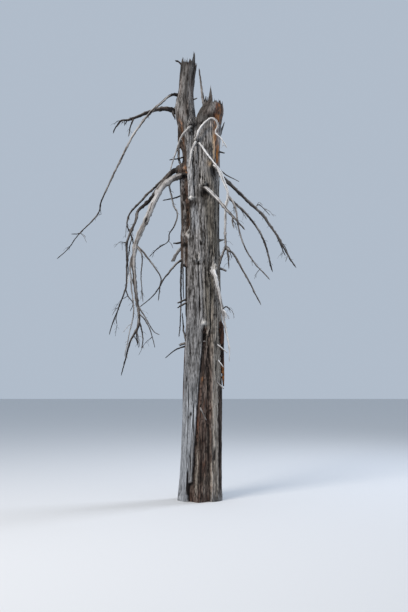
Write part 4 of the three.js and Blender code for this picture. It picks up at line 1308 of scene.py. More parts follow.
@dataclass(frozen=True)
class Leader:
    """One of the two broken leaders: a stem whose top is a jagged rim round a hollow."""

    name: str
    side: str
    edges: tuple[Station, ...]
    rim: float
    hollow: float
    jag: float
    spikes: tuple[Spike, ...]
    stubs: tuple[StubPlan, ...] = ()
    patches: tuple[Patch, ...] = ()
    wall: float = 0.3
    depth: float = 1.05
    foot_below: float = 430.0
    columns: int = 220
    outer_rows: int = 150
    inner_rows: int = 22

    def circle(self, form: TrunkForm, z: Array) -> tuple[Array, Array, Array]:
        """The section of the trunk's own stem below the fork, and of the leader above it.

        Args:
            form: the trunk's form.
            z: heights.

        Returns:
            The middle, the radius and the depth share.
        """
        fork = form.fork_height
        cut = form.section(np.minimum(z, fork))
        left, right = (edge_curve(self.edges, key, np.maximum(z, fork)) for key in ("left", "right"))
        above = z > fork
        middle = np.where(above, (left + right) / 2, cut["middle"] + cut[self.side + "_offset"])
        radius = np.where(above, (right - left) / 2, cut[self.side + "_radius"])
        return middle, radius, mix(cut["depth"], self.depth, ease(fork, fork + 170, z))

    def rim_height(self, degrees: Array, seed: int) -> Array:
        """The rim's height at each turn: waves and named spikes as on the solid, and fine
        splinters whose heights are the cubes of a noise round the rim.

        Args:
            degrees: turns.
            seed: picks the splinters.

        Returns:
            The heights.
        """
        height = self.rim + self.jag * np.sin(degrees / 9) * np.cos(degrees / 23)
        for spike in self.spikes:
            apart = np.abs(wrapped(degrees - spike.turn))
            height = height + spike.rise * np.maximum(0.0, 1 - apart / spike.wide)
        turn = np.radians(degrees)
        ring = np.stack([110 * np.cos(turn), 110 * np.sin(turn), np.zeros_like(turn)], axis=-1)
        fine = noise(ring, 9, 9, seed) ** 3 + 0.5 * noise(ring, 4, 4, seed + 1) ** 3
        tall = noise(ring, 30, 30, seed + 2)
        return np.minimum(height + 75 * fine * tall - 22, BOX_HIGH[2] - 3.0)

    def surface(self, form: TrunkForm, relief: WoodRelief, seed: int) -> Surface:
        """The leader's skin: up its outside, over the rim and down the hollow.

        Args:
            form: the trunk's form, which its foot follows inside the wood.
            relief: the wood's relief.
            seed: picks its splinters.

        Returns:
            The skin as one closed band.
        """
        fork = form.fork_height
        degrees = (np.arange(self.columns) * 360.0 / self.columns)[None, :]
        rim = self.rim_height(degrees, seed)
        foot = fork - self.foot_below
        z = foot + (rim - foot) * np.linspace(0.0, 1.0, self.outer_rows + 1)[:, None]
        middle, radius, depth = self.circle(form, z)
        base = ring_places(middle, depth, radius, degrees, z)
        ragged = Pattern.RAGGED.swing(base)
        wander = np.stack([Pattern.QUICK_X.at(base), Pattern.QUICK_Y.at(base)], -1)
        grain = base.copy()
        grain[..., :2] += 22 * (wander - 0.5)
        inner = 0.35 * ease(0.45, 0.75, noise(base, 55, 300, seed + 5))
        lift, crack, streak = relief.of(grain, np.zeros(z.shape), inner)
        join = ease(fork - 190, fork - 20, z + 70 * ragged)
        thin = 1 - 0.35 * ease(-160.0, 0.0, z - rim)
        outside = ring_places(middle, depth, radius - 16 * (1 - join) + lift * thin, degrees, z)
        colour = self.colours(wrapped(degrees), z, grain, (crack, streak, inner), lift)
        share = np.linspace(0.0, 1.0, self.inner_rows + 1)[1:, None]
        top = outside[-1]
        axis = np.stack([middle[-1], np.zeros(self.columns), z[-1]], axis=-1)
        narrowing = 1 - self.wall * ease(0.0, 0.35, share) - (1 - self.wall) * 0.9 * ease(0.45, 1.0, share)
        inside = axis[None] + (top - axis)[None] * narrowing[..., None]
        uneven = 46 * (noise(inside, 11, 400, seed + 7) - 0.5) * (1 - share)
        inside[..., 2] = mix(top[None, :, 2], self.rim - self.hollow, share**0.55) + uneven * share * 3
        # Painted shade down the broken top's hollow: streaky dark grey near the rim, near-black deeper in.
        streaky = (1 - share[..., None]) * noise(inside, 8, 90, seed + 8)[..., None]
        colour = np.concatenate([colour, Hue.INSIDE.to(Hue.GREY_DARK, streaky)])
        grid = np.concatenate([outside, inside])
        return banded(grid, colour, grid_normals(grid))

    def colours(self, turn: Array, z: Array, grain: Array, masks: tuple, lift: Array) -> Array:
        """Weathered grey with dark streaks, brown where layers are gone, the named patches, and painted shade
        in cracks and hollows with a painted highlight on raised edges.

        Args:
            turn: turns between -180 and 180 degrees.
            z: heights.
            grain: places in the grain's own space.
            masks: how cracked and streaked the wood is, and where layers are gone.
            lift: the surface's lift, whose hollows get painted shade and whose raised edges a painted
                highlight.

        Returns:
            Linear colours.
        """
        crack, streak, inner = (one[..., None] for one in masks)
        mottle = Pattern.MOTTLE.sharp(grain, 3.0)
        brown = Hue.ROT_DARK.to(Hue.ROT_PALE, streak)
        colour = mix(Hue.GREY_DARK.to(Hue.GREY_PALE, 0.74 * streak), brown, np.clip(1.6 * inner, 0.0, 0.6))
        for patch in self.patches:
            across = wrapped(turn - patch.turn) / patch.wide
            near = np.exp(-across * across - ((z - patch.z) / patch.tall) ** 2)[..., None]
            colour = patch.over(colour, near, streak, mottle)
        # Painted shade in hollows and cracks, and a painted highlight on raised edges.
        hollow = blurred(lift, 4, 4) - lift
        colour = colour * (1 + 0.4 * np.clip(-hollow / 8.0, 0.0, 1.0)[..., None])
        shade = np.clip(np.clip(hollow / 9.0, 0.0, 1.0) * 0.7 + 0.85 * crack[..., 0], 0.0, 0.93)[..., None]
        return mix(colour, Hue.CRACK_SHADE.tone, shade)


# Patches of the near-black crack colour on the leaders are painted shade.
LEADERS = (
    Leader(name="left_leader", side="left", edges=(Station(4980, -321, -60), Station(5120, -334, -76),
        Station(5370, -290, -90), Station(5740, -256, -44)), rim=5735.0, hollow=110.0, jag=22.0,
        spikes=(Spike(37.5, 145, 16), Spike(-52.5, 75, 14), Spike(82, -60, 22), Spike(170, 60, 25)),
        stubs=(StubPlan(((-215, -10, 5680), (-282, -15, 5752), (-326, -15, 5764)), (17, 9)),
        StubPlan(((-110, -20, 5225), (-47, -25, 5250)), (12, 7)), StubPlan(((-290, 5, 5150), (-356, 5, 5085),
        (-334, 5, 4975)), (34, 5))), patches=(Patch(-50, 4860, 16, 130, Hue.ORANGE, 0.45),
        Patch(-62, 4900, 16, 160, Hue.ROT_DARK, 0.7), Patch(-86, 4760, 25, 200, Hue.ROT_DARK, 0.8),
        Patch(3, 5380, 11, 330, Hue.CRACK_SHADE, 0.8), Patch(60, 5560, 30, 160, Hue.ROT_DARK, 0.9),
        Patch(-68, 5640, 30, 140, Hue.CRACK_SHADE, 1.1), Patch(-10, 5700, 60, 40, Hue.ROT_DARK, 0.7),
        Patch(-66, 5250, 20, 220, Hue.GREY_PALE, 0.7))),
    Leader(name="right_leader", side="right", edges=(Station(4980, -48, 289), Station(5090, -10, 308),
        Station(5195, 50, 296), Station(5420, 66, 284)), rim=5185.0, hollow=90.0, jag=20.0,
        spikes=(Spike(-20, 218, 20), Spike(-62, 70, 24), Spike(42, 28, 7), Spike(57, -34, 7),
        Spike(76, 48, 8), Spike(104, -70, 16), Spike(-150, 45, 25)),
        patches=(Patch(12, 5090, 22, 60, Hue.GREY_PALE, 0.8), Patch(12, 4960, 30, 55, Hue.CRACK_SHADE, 1.0),
        Patch(50, 5040, 30, 190, Hue.BROWN, 1.0), Patch(28, 5060, 9, 150, Hue.ROT_RED, 1.0),
        Patch(46, 5040, 16, 180, Hue.ORANGE, 0.5), Patch(57, 5090, 6, 160, Hue.CRACK_SHADE, 0.7),
        Patch(70, 5020, 14, 190, Hue.ORANGE, 0.4), Patch(52, 5200, 24, 50, Hue.CRACK_SHADE, 0.8),
        Patch(-50, 5060, 34, 170, Hue.GREY_DARK, 0.7), Patch(-15, 5180, 26, 90, Hue.ROT_DARK, 0.5)),
        outer_rows=110),
)

TRUNK_STUBS = (
    StubPlan(((190, -30, 4540), (318, -40, 4508)), (14, 8)),
    StubPlan(((190, -60, 4330), (316, -40, 4233), (507, -20, 4132)), (10, 4)),
    StubPlan(((200, 0, 3345), (312, 0, 3362)), (36, 6)),
    StubPlan(((200, -20, 3000), (338, -20, 2950)), (18, 12)),
    StubPlan(((200, -100, 2000), (345, -160, 1878)), (12, 6), Look.PALE),
    StubPlan(((190, -90, 1830), (298, -120, 1695)), (12, 6), Look.PALE),
    StubPlan(((180, -100, 1530), (298, -150, 1425)), (13, 7), Look.PALE),
    StubPlan(((-40, -157, 1250), (78, -262, 1028)), (15, 5), Look.GREY),
    StubPlan(((-120, -20, 2600), (-288, -42, 2528)), (17, 9)),
    StubPlan(((-120, -50, 2560), (-290, -75, 2462)), (16, 8)),
    StubPlan(((-140, 20, 2020), (-262, 25, 1982)), (19, 13)),
    StubPlan(((-140, 60, 1980), (-300, 80, 1930), (-455, 100, 1818)), (12, 5)),
    StubPlan(((-160, -20, 4490), (-285, -60, 4430), (-400, -70, 4408)), (11, 6)),
    StubPlan(((-190, 30, 3985), (-360, 60, 3925), (-490, 70, 3900)), (12, 6)),
    StubPlan(((-190, -40, 3330), (-345, -60, 3305)), (16, 9)),
    StubPlan(((-190, 30, 3330), (-300, 40, 3200), (-356, 60, 3095)), (15, 21), Look.CHALKY),
    StubPlan(((60, 180, 1900), (80, 340, 1850)), (18, 11)),
    StubPlan(((-90, 180, 3900), (-150, 330, 3880)), (20, 12)),
)

SPLINTERS = {
    "fork_splinter": StubPlan(
        ((75, -30, 5060), (48, -55, 5165), (12, -62, 5420), (-16, -60, 5650)), (24, 6), Look.GREY
    ),
    "right_splinter": StubPlan(((235, -10, 4690), (272, -10, 4790), (322, -10, 4937)), (17, 6)),
    "left_splinter": StubPlan(((-262, -15, 4640), (-284, -20, 4560), (-281, -30, 4440), (-262, -38, 4365),
        (-235, -42, 4325)), (14, 14)),
    "hanging_splinter": StubPlan(((-205, 55, 3150), (-246, 52, 3010), (-252, 40, 2570), (-262, 30, 2240),
        (-276, 25, 2085)), (13, 6)),
    "short_splinter": StubPlan(((-195, -45, 3150), (-222, -50, 3010), (-214, -65, 2570)), (10, 5)),
    "standing_splinter": StubPlan(((-160, -50, 1960), (-200, -55, 2080), (-220, -50, 2250),
        (-232, -45, 2405)), (15, 5)),
}

BOUGHS = (
    BoughPlan("high_long", Look.GREY, ((-230, -10, 5290), (-370, -90, 5275), (-485, -150, 5175),
        (-650, -220, 4985), (-805, -270, 4775), (-940, -300, 4520), (-1130, -320, 4110), (-1265, -330, 3795),
        (-1285, -330, 3680), (-1365, -330, 3565), (-1530, -320, 3400), (-1700, -290, 3185),
        (-1830, -270, 3070)), (16, 8.5, 4), 7, (ForkPlan(3435, ((-1530, -335, 3392), (-1635, -380, 3375)),
        (6, 4)),), 4, 150, tip_look=Look.DARK, dark_root=260.0),
    BoughPlan("high_short", Look.DARK, ((-230, 0, 5060), (-405, 30, 5115), (-565, 70, 5130),
        (-740, 110, 5085), (-850, 130, 5045), (-985, 160, 5010), (-1070, 190, 5010), (-1130, 210, 4950),
        (-1180, 230, 4845)), (32, 17, 6), 4, (ForkPlan(5040, ((-940, 110, 4890), (-960, 90, 4760)),
        (11, 5)),), 4, 130, dark_root=260.0),
    BoughPlan("fork_limb", Look.WORN, ((-70, -60, 4880), (-160, -215, 4780), (-260, -290, 4625),
        (-310, -310, 4450), (-365, -320, 4265), (-385, -320, 4190)), (19, 10, 6)),
    BoughPlan("left_outer", Look.DARK, ((-190, 30, 4290), (-375, 70, 4280), (-510, 120, 4130),
        (-675, 190, 3935), (-770, 230, 3855), (-840, 250, 3790), (-865, 260, 3670), (-945, 280, 3485),
        (-985, 300, 3365), (-985, 320, 3135), (-1005, 330, 2760), (-1095, 370, 2505), (-1180, 400, 2290),
        (-1230, 420, 2130)), (32, 18, 5), 5, (ForkPlan(3385, ((-1055, 315, 3378),), (8, 5)), ForkPlan(2790,
        ((-970, 300, 2650), (-900, 255, 2550), (-935, 280, 2440)), (8, 4)), ForkPlan(2505,
        ((-1130, 340, 2355), (-1115, 330, 2260)), (6, 4))), 7, 240, tip_look=Look.DARK, dark_root=260.0),
    BoughPlan("left_main", Look.WORN, ((-180, -15, 4225), (-340, -110, 4160), (-495, -190, 4010),
        (-605, -290, 3765), (-710, -370, 3505), (-795, -420, 3295), (-830, -450, 3085), (-825, -470, 2845),
        (-785, -480, 2530), (-762, -480, 2305), (-770, -485, 2190), (-860, -450, 2030), (-935, -420, 1780),
        (-985, -400, 1585)), (38, 27, 6), 5, (ForkPlan(3250, ((-715, -470, 3135), (-600, -530, 2985),
        (-485, -570, 2795), (-495, -590, 2695), (-515, -600, 2505)), (12, 5), Look.DARK), ForkPlan(3225,
        ((-722, -500, 3080), (-735, -520, 2840), (-705, -560, 2495)), (9, 4), Look.GREY), ForkPlan(3150,
        ((-872, -385, 3045), (-872, -330, 2730), (-842, -290, 2390), (-905, -240, 2100), (-960, -210, 1825)),
        (11, 5), Look.PALE), ForkPlan(2420, ((-655, -560, 2275), (-565, -610, 2125), (-490, -640, 2085)),
        (9, 4)), ForkPlan(2400, ((-640, -580, 2215), (-585, -640, 2060), (-550, -650, 1925)), (8, 4)),
        ForkPlan(2300, ((-780, -510, 2115), (-765, -530, 1965)), (14, 6), Look.DARK), ForkPlan(2290,
        ((-705, -525, 2055), (-720, -545, 1915)), (10, 5), Look.DARK)), 9, 230, tip_look=Look.DARK,
        dark_root=150.0),
    BoughPlan("left_back", Look.DARK, ((-170, 80, 4330), (-405, 190, 4280), (-615, 330, 4135),
        (-785, 440, 3995), (-955, 540, 3830), (-1015, 570, 3670), (-945, 590, 3490), (-915, 600, 3320),
        (-930, 620, 3050), (-900, 640, 2800)), (19, 11, 4), 4, (ForkPlan(3500, ((-985, 650, 3350),
        (-1010, 720, 3180), (-1000, 760, 2960)), (7, 4)),), 7, 240, dark_root=260.0),
    BoughPlan("left_hanging", Look.GREY, ((-110, 60, 4190), (-290, 25, 4195), (-380, -25, 4155),
        (-405, -65, 4080), (-385, -90, 3968), (-354, -110, 3812), (-300, -120, 3703), (-321, -130, 3550),
        (-396, -140, 3413), (-411, -150, 3321), (-558, -160, 3214), (-662, -170, 3107)), (13, 9, 4), 6, (), 4,
        130, tip_look=Look.DARK, dark_root=260.0),
    BoughPlan("left_low", Look.DARK, ((-160, 30, 3140), (-300, -50, 3050), (-455, -120, 2845),
        (-595, -170, 2620), (-770, -220, 2460)), (15, 9, 4)),
    BoughPlan("arch", Look.BLEACHED, ((-52, -80, 4640), (-48, -215, 4650), (-10, -262, 4756),
        (65, -285, 4850), (145, -300, 4900), (205, -295, 4870), (228, -290, 4800), (200, -275, 4712),
        (255, -290, 4655), (305, -310, 4580), (345, -320, 4500)), (15, 10, 4), 7, (ForkPlan(4600,
        ((295, -320, 4520),), (6, 4)),), 0, 60),
    BoughPlan("face_limb", Look.CHALKY, ((-90, -80, 4525), (-62, -226, 4612), (-103, -256, 4512),
        (-118, -272, 4400), (-134, -283, 4275), (-146, -285, 4165), (-150, -285, 4085)), (13, 14, 11)),
    BoughPlan("crossing_limb", Look.BLEACHED, ((0, -80, 4590), (-10, -222, 4592), (56, -268, 4483),
        (155, -312, 4343), (219, -335, 4247), (250, -362, 4150), (290, -385, 4047), (320, -400, 3965)),
        (11, 9, 5)),
    BoughPlan("right_outer", Look.DARK, ((150, 20, 4330), (305, 40, 4198), (530, 130, 4010), (680, 200, 3875),
        (830, 260, 3750), (955, 310, 3595), (1060, 350, 3440), (1150, 390, 3280), (1305, 450, 3045)),
        (24, 19, 9), 3, (ForkPlan(3840, ((790, 270, 3880), (945, 330, 3745)), (7, 4)), ForkPlan(3620,
        ((990, 345, 3590),), (10, 6)), ForkPlan(3500, ((1095, 520, 3380), (1180, 640, 3235)), (9, 5))), 6,
        220, tip_look=Look.GREY, dark_root=260.0),
    BoughPlan("right_white", Look.BLEACHED, ((140, -40, 4340), (215, -215, 4280), (272, -272, 4171),
        (310, -300, 4063), (350, -325, 3945), (358, -332, 3850), (328, -340, 3700), (322, -348, 3480),
        (322, -352, 3310), (340, -360, 3195), (415, -370, 3130), (565, -400, 2865), (765, -430, 2470)),
        (20, 17, 7), 4, (ForkPlan(3880, ((430, -390, 3760), (515, -500, 3305), (635, -560, 3045),
        (865, -620, 2765)), (13, 6), Look.GREY), ForkPlan(3830, ((540, -260, 3705), (745, -180, 3475),
        (855, -130, 3245), (940, -90, 2925)), (16, 9), Look.DARK), ForkPlan(3215, ((275, -345, 3095),
        (232, -335, 2950)), (14, 10), Look.DARK), ForkPlan(3205, ((358, -395, 3070), (362, -415, 2925)),
        (10, 5), Look.DARK)), 9, 220, tip_look=Look.DARK),
    BoughPlan("right_front", Look.WORN, ((30, -130, 3995), (75, -250, 3990), (125, -310, 3940),
        (185, -355, 3862), (258, -400, 3783), (352, -470, 3648), (438, -520, 3543), (505, -560, 3465),
        (560, -590, 3392)), (21, 18, 5), 5, (ForkPlan(3570, ((410, -540, 3490), (425, -575, 3410)), (12, 6),
        Look.DARK),), 6, 170, tip_look=Look.DARK, dark_root=170.0),
    BoughPlan("right_low", Look.PALE, ((130, -90, 3000), (188, -245, 2850), (240, -300, 2635),
        (265, -320, 2505), (315, -330, 2225), (365, -340, 1970), (370, -350, 1760)), (36, 20, 5), 3,
        (ForkPlan(2480, ((315, -350, 2390), (340, -365, 2285)), (12, 8)), ForkPlan(2490, ((330, -345, 2455),
        (392, -365, 2410)), (9, 7), Look.DARK)), 5, 170, tip_look=Look.BLEACHED),
    BoughPlan("back_high", Look.GREY, ((-130, 60, 4780), (-150, 330, 4860), (-135, 600, 4780),
        (-110, 830, 4520), (-90, 960, 4180), (-70, 1010, 3800)), (28, 17, 5), 3, (ForkPlan(4350,
        ((-140, 1040, 4180), (-150, 1140, 3940)), (10, 5)),), 8, 240),
    BoughPlan("back_main", Look.PALE, ((50, 120, 4300), (90, 420, 4370), (110, 760, 4210), (80, 1050, 3830),
        (50, 1180, 3440), (30, 1200, 3050), (60, 1170, 2700)), (34, 21, 5), 3, (ForkPlan(3600,
        ((120, 1260, 3400), (150, 1330, 3120)), (11, 5)), ForkPlan(3300, ((-20, 1120, 3080),
        (-60, 1040, 2800)), (9, 4), Look.GREY)), 8, 240, tip_look=Look.GREY),
    BoughPlan("back_right", Look.GREY, ((120, 100, 3590), (190, 360, 3640), (190, 620, 3510),
        (170, 830, 3180), (150, 900, 2850), (160, 900, 2500)), (26, 16, 5), 3, (ForkPlan(2960,
        ((110, 970, 2800), (90, 1000, 2560)), (8, 4)),), 8, 220),
    BoughPlan("back_low", Look.PALE, ((-30, 90, 2880), (-80, 370, 2920), (-90, 600, 2780), (-80, 740, 2480),
        (-70, 780, 2180), (-60, 760, 1900)), (26, 15, 5), 3, (ForkPlan(2280, ((-20, 830, 2120),
        (10, 850, 1920)), (8, 4)),), 6, 210, tip_look=Look.GREY),
)


@dataclass(frozen=True)
class LimbRule:
    """How limbs are made: the solids' own steps, which the twigs' rule needs, and finer ones."""

    bough_steps: int = 3
    fork_steps: int = 2
    twig_steps: int = 2
    stub_steps: int = 2
    splinter_steps: int = 3
    gap: float = 0.3
    collar_swell: float = 0.45
    collar_length: float = 70.0
    knot_share: float = 0.22
    knot_every: float = 210.0
    knot_length: float = 26.0
    clearance: float = 14.0
    root_zone: float = 3.0
    margin: Place = (35.0, 260.0, 20.0)
    turn: float = 137.508
    depth_bias: float = 2.2
    rise: float = 0.2
    forward: float = 0.55
    droop: float = 0.85
    sag: float = 0.06
    bend_at: float = 0.4
    places: tuple[float, float] = (0.12, 0.98)
    lengths: tuple[float, float] = (0.6, 1.3)
    crowding: float = 1.5
    radius_share: float = 0.5
    radius_least: float = 3.6
    tip_share: float = 0.5
    seeds_per_mass: int = 100
    bough_seed: int = 1000
    seeds_per_bough: int = 40
    fork_seed: int = 5
    trunk_swell: Place = (0.3, 2.1, 2.6)


def drooping(at: Array, heading: Array, length: float, bend_at: float, droop: float, sag: float) -> Array:
    """A twig's three turning points: it sets out along its heading, bends, and droops.

    Args:
        at: its root.
        heading: where it sets out to, as a unit vector.
        length: its length.
        bend_at: the share of its length where it bends.
        droop: how strongly it turns down there.
        sag: how far the bend sinks, as a share of its length.

    Returns:
        The turning points.
    """
    bend = at + heading * length * bend_at - UP * length * sag
    return np.array([at, bend, bend + unit(heading - UP * droop) * length * (1 - bend_at)])


@dataclass
class Limb:
    """A limb that tapers along its turning points."""

    line: Line
    points: Array
    radii: tuple[float, ...]
    look: Look
    ends: float = 0.0
    seed: float = 0
    is_bough: bool = False
    tip_look: Look | None = None
    dark_root: float = 0.0

    @classmethod
    def even(cls, points: Array, count: int, radii: tuple, look: Look, seed: float = 0) -> "Limb":
        """A limb that tapers evenly through its turning points, in `count` shares of its spans."""
        return cls(Line.through(points, count), points, radii, look, seed=seed)

    def spot(self, share: float, step: float) -> tuple[Array, Array]:
        """The place at a share of its spans, and the direction from there to a step further on."""
        at, further = catmull_rom(self.points, np.array([share, share + step]))
        return at, unit(further - at)

    def radius_at(self, length: Array, rule: LimbRule) -> Array:
        """The radius at each length. A bough tapers between three radii, swells at its root and
        carries small knots; any other limb tapers evenly between two.

        Args:
            length: lengths from its root.
            rule: how limbs are made.

        Returns:
            The radii.
        """
        length = np.asarray(length, float)
        full = self.line.length[-1]
        if not self.is_bough:
            return mix(self.radii[0], self.radii[1], length / full)
        root, split, tip = self.radii
        rest = np.clip((length - self.ends) / max(1.0, full - self.ends), 0.0, 1.0)
        taper = np.where(length < self.ends, mix(root, split, length / self.ends), mix(split, tip, rest))
        collar = 1 + rule.collar_swell * np.exp(-length / rule.collar_length)
        apart = np.abs(length % rule.knot_every - rule.knot_every / 2)
        return taper * collar * (1 + rule.knot_share * np.exp(-((apart / rule.knot_length) ** 2)))

    def own_radii(self, rule: LimbRule) -> Array:
        """The radius at each of its samples."""
        return self.radius_at(self.line.length, rule)


class Crown:
    """Every limb of the tree: boughs with the stems of their twigs, forks and finer twigs."""

    def __init__(self, form: TrunkForm, dress: TrunkDress, rule: LimbRule) -> None:
        """Grows the limbs by the same rule and seeds as the solids.

        Args:
            form: the trunk's form, which twigs keep clear of.
            dress: the trunk's knots, which count as trunk too.
            rule: how limbs are made.
        """
        self.form = form
        self.trunk = Trunk(form, dress, WoodRelief(), [])
        self.rule = rule
        self.occupied: list[tuple[str, Array, Array, float]] = []
        self.boughs: dict[str, Limb] = {}
        self.twigs: dict[str, list[Limb]] = {}
        self.spaces: dict[str, Box] = {}
        self.grow()

    def occupy(self, node: str, line: Line, radii: Array) -> None:
        """Remembers the straight pieces of a limb, which later twigs keep clear of."""
        self.occupied += [(node, *line.at[i - 1 : i + 1], float(radii[i])) for i in range(1, len(line.at))]

    def occupy_by(self, node: str, plan: StubPlan, steps: int) -> None:
        """Remembers a stub or a splinter.

        Args:
            node: its node.
            plan: its plan.
            steps: how many spans lie between two of its turning points.
        """
        points = np.array(plan.points, float)
        limb = Limb.even(points, (len(points) - 1) * steps, plan.radii, plan.look)
        self.occupy(node, limb.line, limb.own_radii(self.rule))

    def inside_trunk(self, point: Array, clearance: float) -> bool:
        """Whether a place lies in the trunk or nearer to it than the clearance.

        Args:
            point: the place.
            clearance: the clearance.

        Returns:
            True where it does.
        """
        if point[2] > self.form.fork_height:
            return False
        degrees, distance = self.form.turn_of(point)
        turn, z = np.array([[degrees]]), np.array([[point[2]]])
        reach = self.form.reach(turn, z)
        lift = self.trunk.plain_lift(Skin(turn, z, reach, np.zeros((1, 1))))
        return distance < float((reach + lift)[0, 0]) + clearance

    def is_blocked(self, node: str, line: Line, radius: float, root_length: float, space: Box) -> bool:
        """Whether a twig would leave its mass's space, or touch the trunk or another limb.

        Args:
            node: the mass's node.
            line: the twig's line.
            radius: its radius at the root.
            root_length: the length near the root where it may touch its own mass.
            space: the mass's space.

        Returns:
            True where it would.
        """
        if leaves(line.at, space):
            return True
        for at, length in zip(line.at, line.length):
            if self.inside_trunk(at, radius + self.rule.clearance):
                return True
            for other, start, end, thick in self.occupied:
                if other == node and length < root_length:
                    continue
                step = end - start
                share = np.clip(np.dot(at - start, step) / max(np.dot(step, step), 1e-9), 0.0, 1.0)
                if np.linalg.norm(start + share * step - at) < radius + thick + self.rule.clearance:
                    return True
        return False

    def twig_points(self, at: Array, ahead: Array, seed: int, length: float) -> Array:
        """The turning points of a finer twig: it leaves its carrier sideways, mostly towards the
        front or the back, bends at a share of its length and droops.

        Args:
            at: its root.
            ahead: its carrier's direction there.
            seed: picks its direction.
            length: its length.

        Returns:
            The turning points.
        """
        rule = self.rule
        angle = math.radians(rule.turn * seed)
        out = np.array([math.cos(angle), rule.depth_bias * math.sin(angle), rule.rise * chance(seed + 0.3)])
        return drooping(at, leaning(out, ahead, rule.forward), length, rule.bend_at, rule.droop, rule.sag)

    def grow(self) -> None:
        """Boughs first, so that the twigs of all masses keep clear of them."""
        rule = self.rule
        for leader in LEADERS:
            for stub in leader.stubs:
                self.occupy_by(leader.name, stub, rule.stub_steps)
        for stub in TRUNK_STUBS:
            self.occupy_by("trunk", stub, rule.stub_steps)
        for name, plan in SPLINTERS.items():
            self.occupy_by(name, plan, rule.splinter_steps)
        stems = []
        for order, plan in enumerate(BOUGHS):
            points = np.array(plan.points, float)
            line = Line.through(points, (len(points) - 1) * rule.bough_steps)
            is_bare = plan.split is None
            index = (len(points) - 1 if is_bare else plan.split) * rule.bough_steps
            ends = line.length[-1] / 2 if is_bare else line.length[index]
            seed = rule.bough_seed + rule.seeds_per_bough * order
            limb = Limb(line, points, plan.radii, plan.look, ends, seed, True, plan.tip_look, plan.dark_root)
            self.boughs[plan.name] = limb
            radii = limb.own_radii(rule)
            self.occupy(plan.name + "_bough", line.part(0, index + 1), radii[: index + 1])
            if not is_bare:
                stem = line.part(index)
                stem.at[0] = stem.at[0] + stem.ahead[0] * rule.gap
                stems.append((plan, seed, stem, radii[index:]))
        for order, (plan, seed, stem, radii) in enumerate(stems, start=1):
            self.grow_mass(plan, seed, stem, radii, rule.seeds_per_mass * order)

    def grow_mass(self, plan: BoughPlan, bough_seed: int, stem: Line, radii: Array, first_seed: int) -> None:
        """A mass of bare twigs: the stem's forks and its finer twigs.

        Args:
            plan: the bough's plan.
            bough_seed: the seed of the bough whose tip the stem is.
            stem: the stem's own samples.
            radii: the stem's radii there.
            first_seed: the first of the mass's own seeds.
        """
        rule = self.rule
        node = plan.name + "_twigs"
        made: list[Limb] = []
        carriers = [(stem, radii, plan.tip_look or plan.look)]
        for order, fork in enumerate(plan.forks):
            root = stem.at[1:][np.argmin(np.abs(stem.at[1:, 2] - fork.at))]
            points = np.vstack([root, np.array(fork.points, float)])
            look = fork.look or plan.tip_look or plan.look
            count = (len(points) - 1) * rule.fork_steps
            limb = Limb.even(points, count, fork.radii, look, bough_seed + rule.fork_seed + order)
            made.append(limb)
            carriers.append((limb.line, limb.own_radii(rule), look))
        for line, thick, _ in carriers:
            self.occupy(node, line, thick)
        places = np.vstack([line.at for line, _, _ in carriers])
        margin = np.array(rule.margin)
        space = (places.min(axis=0) - margin, places.max(axis=0) + margin)
        self.spaces[plan.name] = space
        for seed in range(first_seed, first_seed + plan.twig_count):
            line, thick, look = carriers[int(chance(seed) ** rule.crowding * len(carriers))]
            place = mix(*rule.places, chance(seed + 0.5))
            index = max(1, int(math.floor(place * (len(line.at) - 1) + 0.5)))
            radius = max(rule.radius_least, thick[index] * rule.radius_share)
            length = plan.twig_length * mix(*rule.lengths, chance(seed + 0.7))
            points = self.twig_points(line.at[index], line.ahead[index], seed, length)
            limb = Limb.even(points, 2 * rule.twig_steps, (radius, radius * rule.tip_share), look, seed)
            root_length = rule.root_zone * (thick[index] + rule.clearance)
            if not self.is_blocked(node, limb.line, radius, root_length, space):
                made.append(limb)
                self.occupy(node, limb.line, limb.own_radii(rule))
        self.twigs[plan.name] = made

    def collars(self) -> list[Knot]:
        """The swellings of the trunk where boughs leave it, found where each bough's own line
        crosses the trunk's plain surface.

        Returns:
            One knot for each bough that leaves the trunk below the fork.
        """
        found = []
        for plan in BOUGHS:
            for point in catmull_rom(self.boughs[plan.name].points, np.linspace(0.0, 0.3, 120)):
                if point[2] > self.form.fork_height - 60:
                    break
                degrees, distance = self.form.turn_of(point)
                if distance > self.form.reach(np.array([[degrees]]), np.array([[point[2]]]))[0, 0]:
                    swell = (share * plan.radii[0] for share in self.rule.trunk_swell)
                    found.append(Knot(degrees, float(point[2]), *swell, 0.3))
                    break
        return found


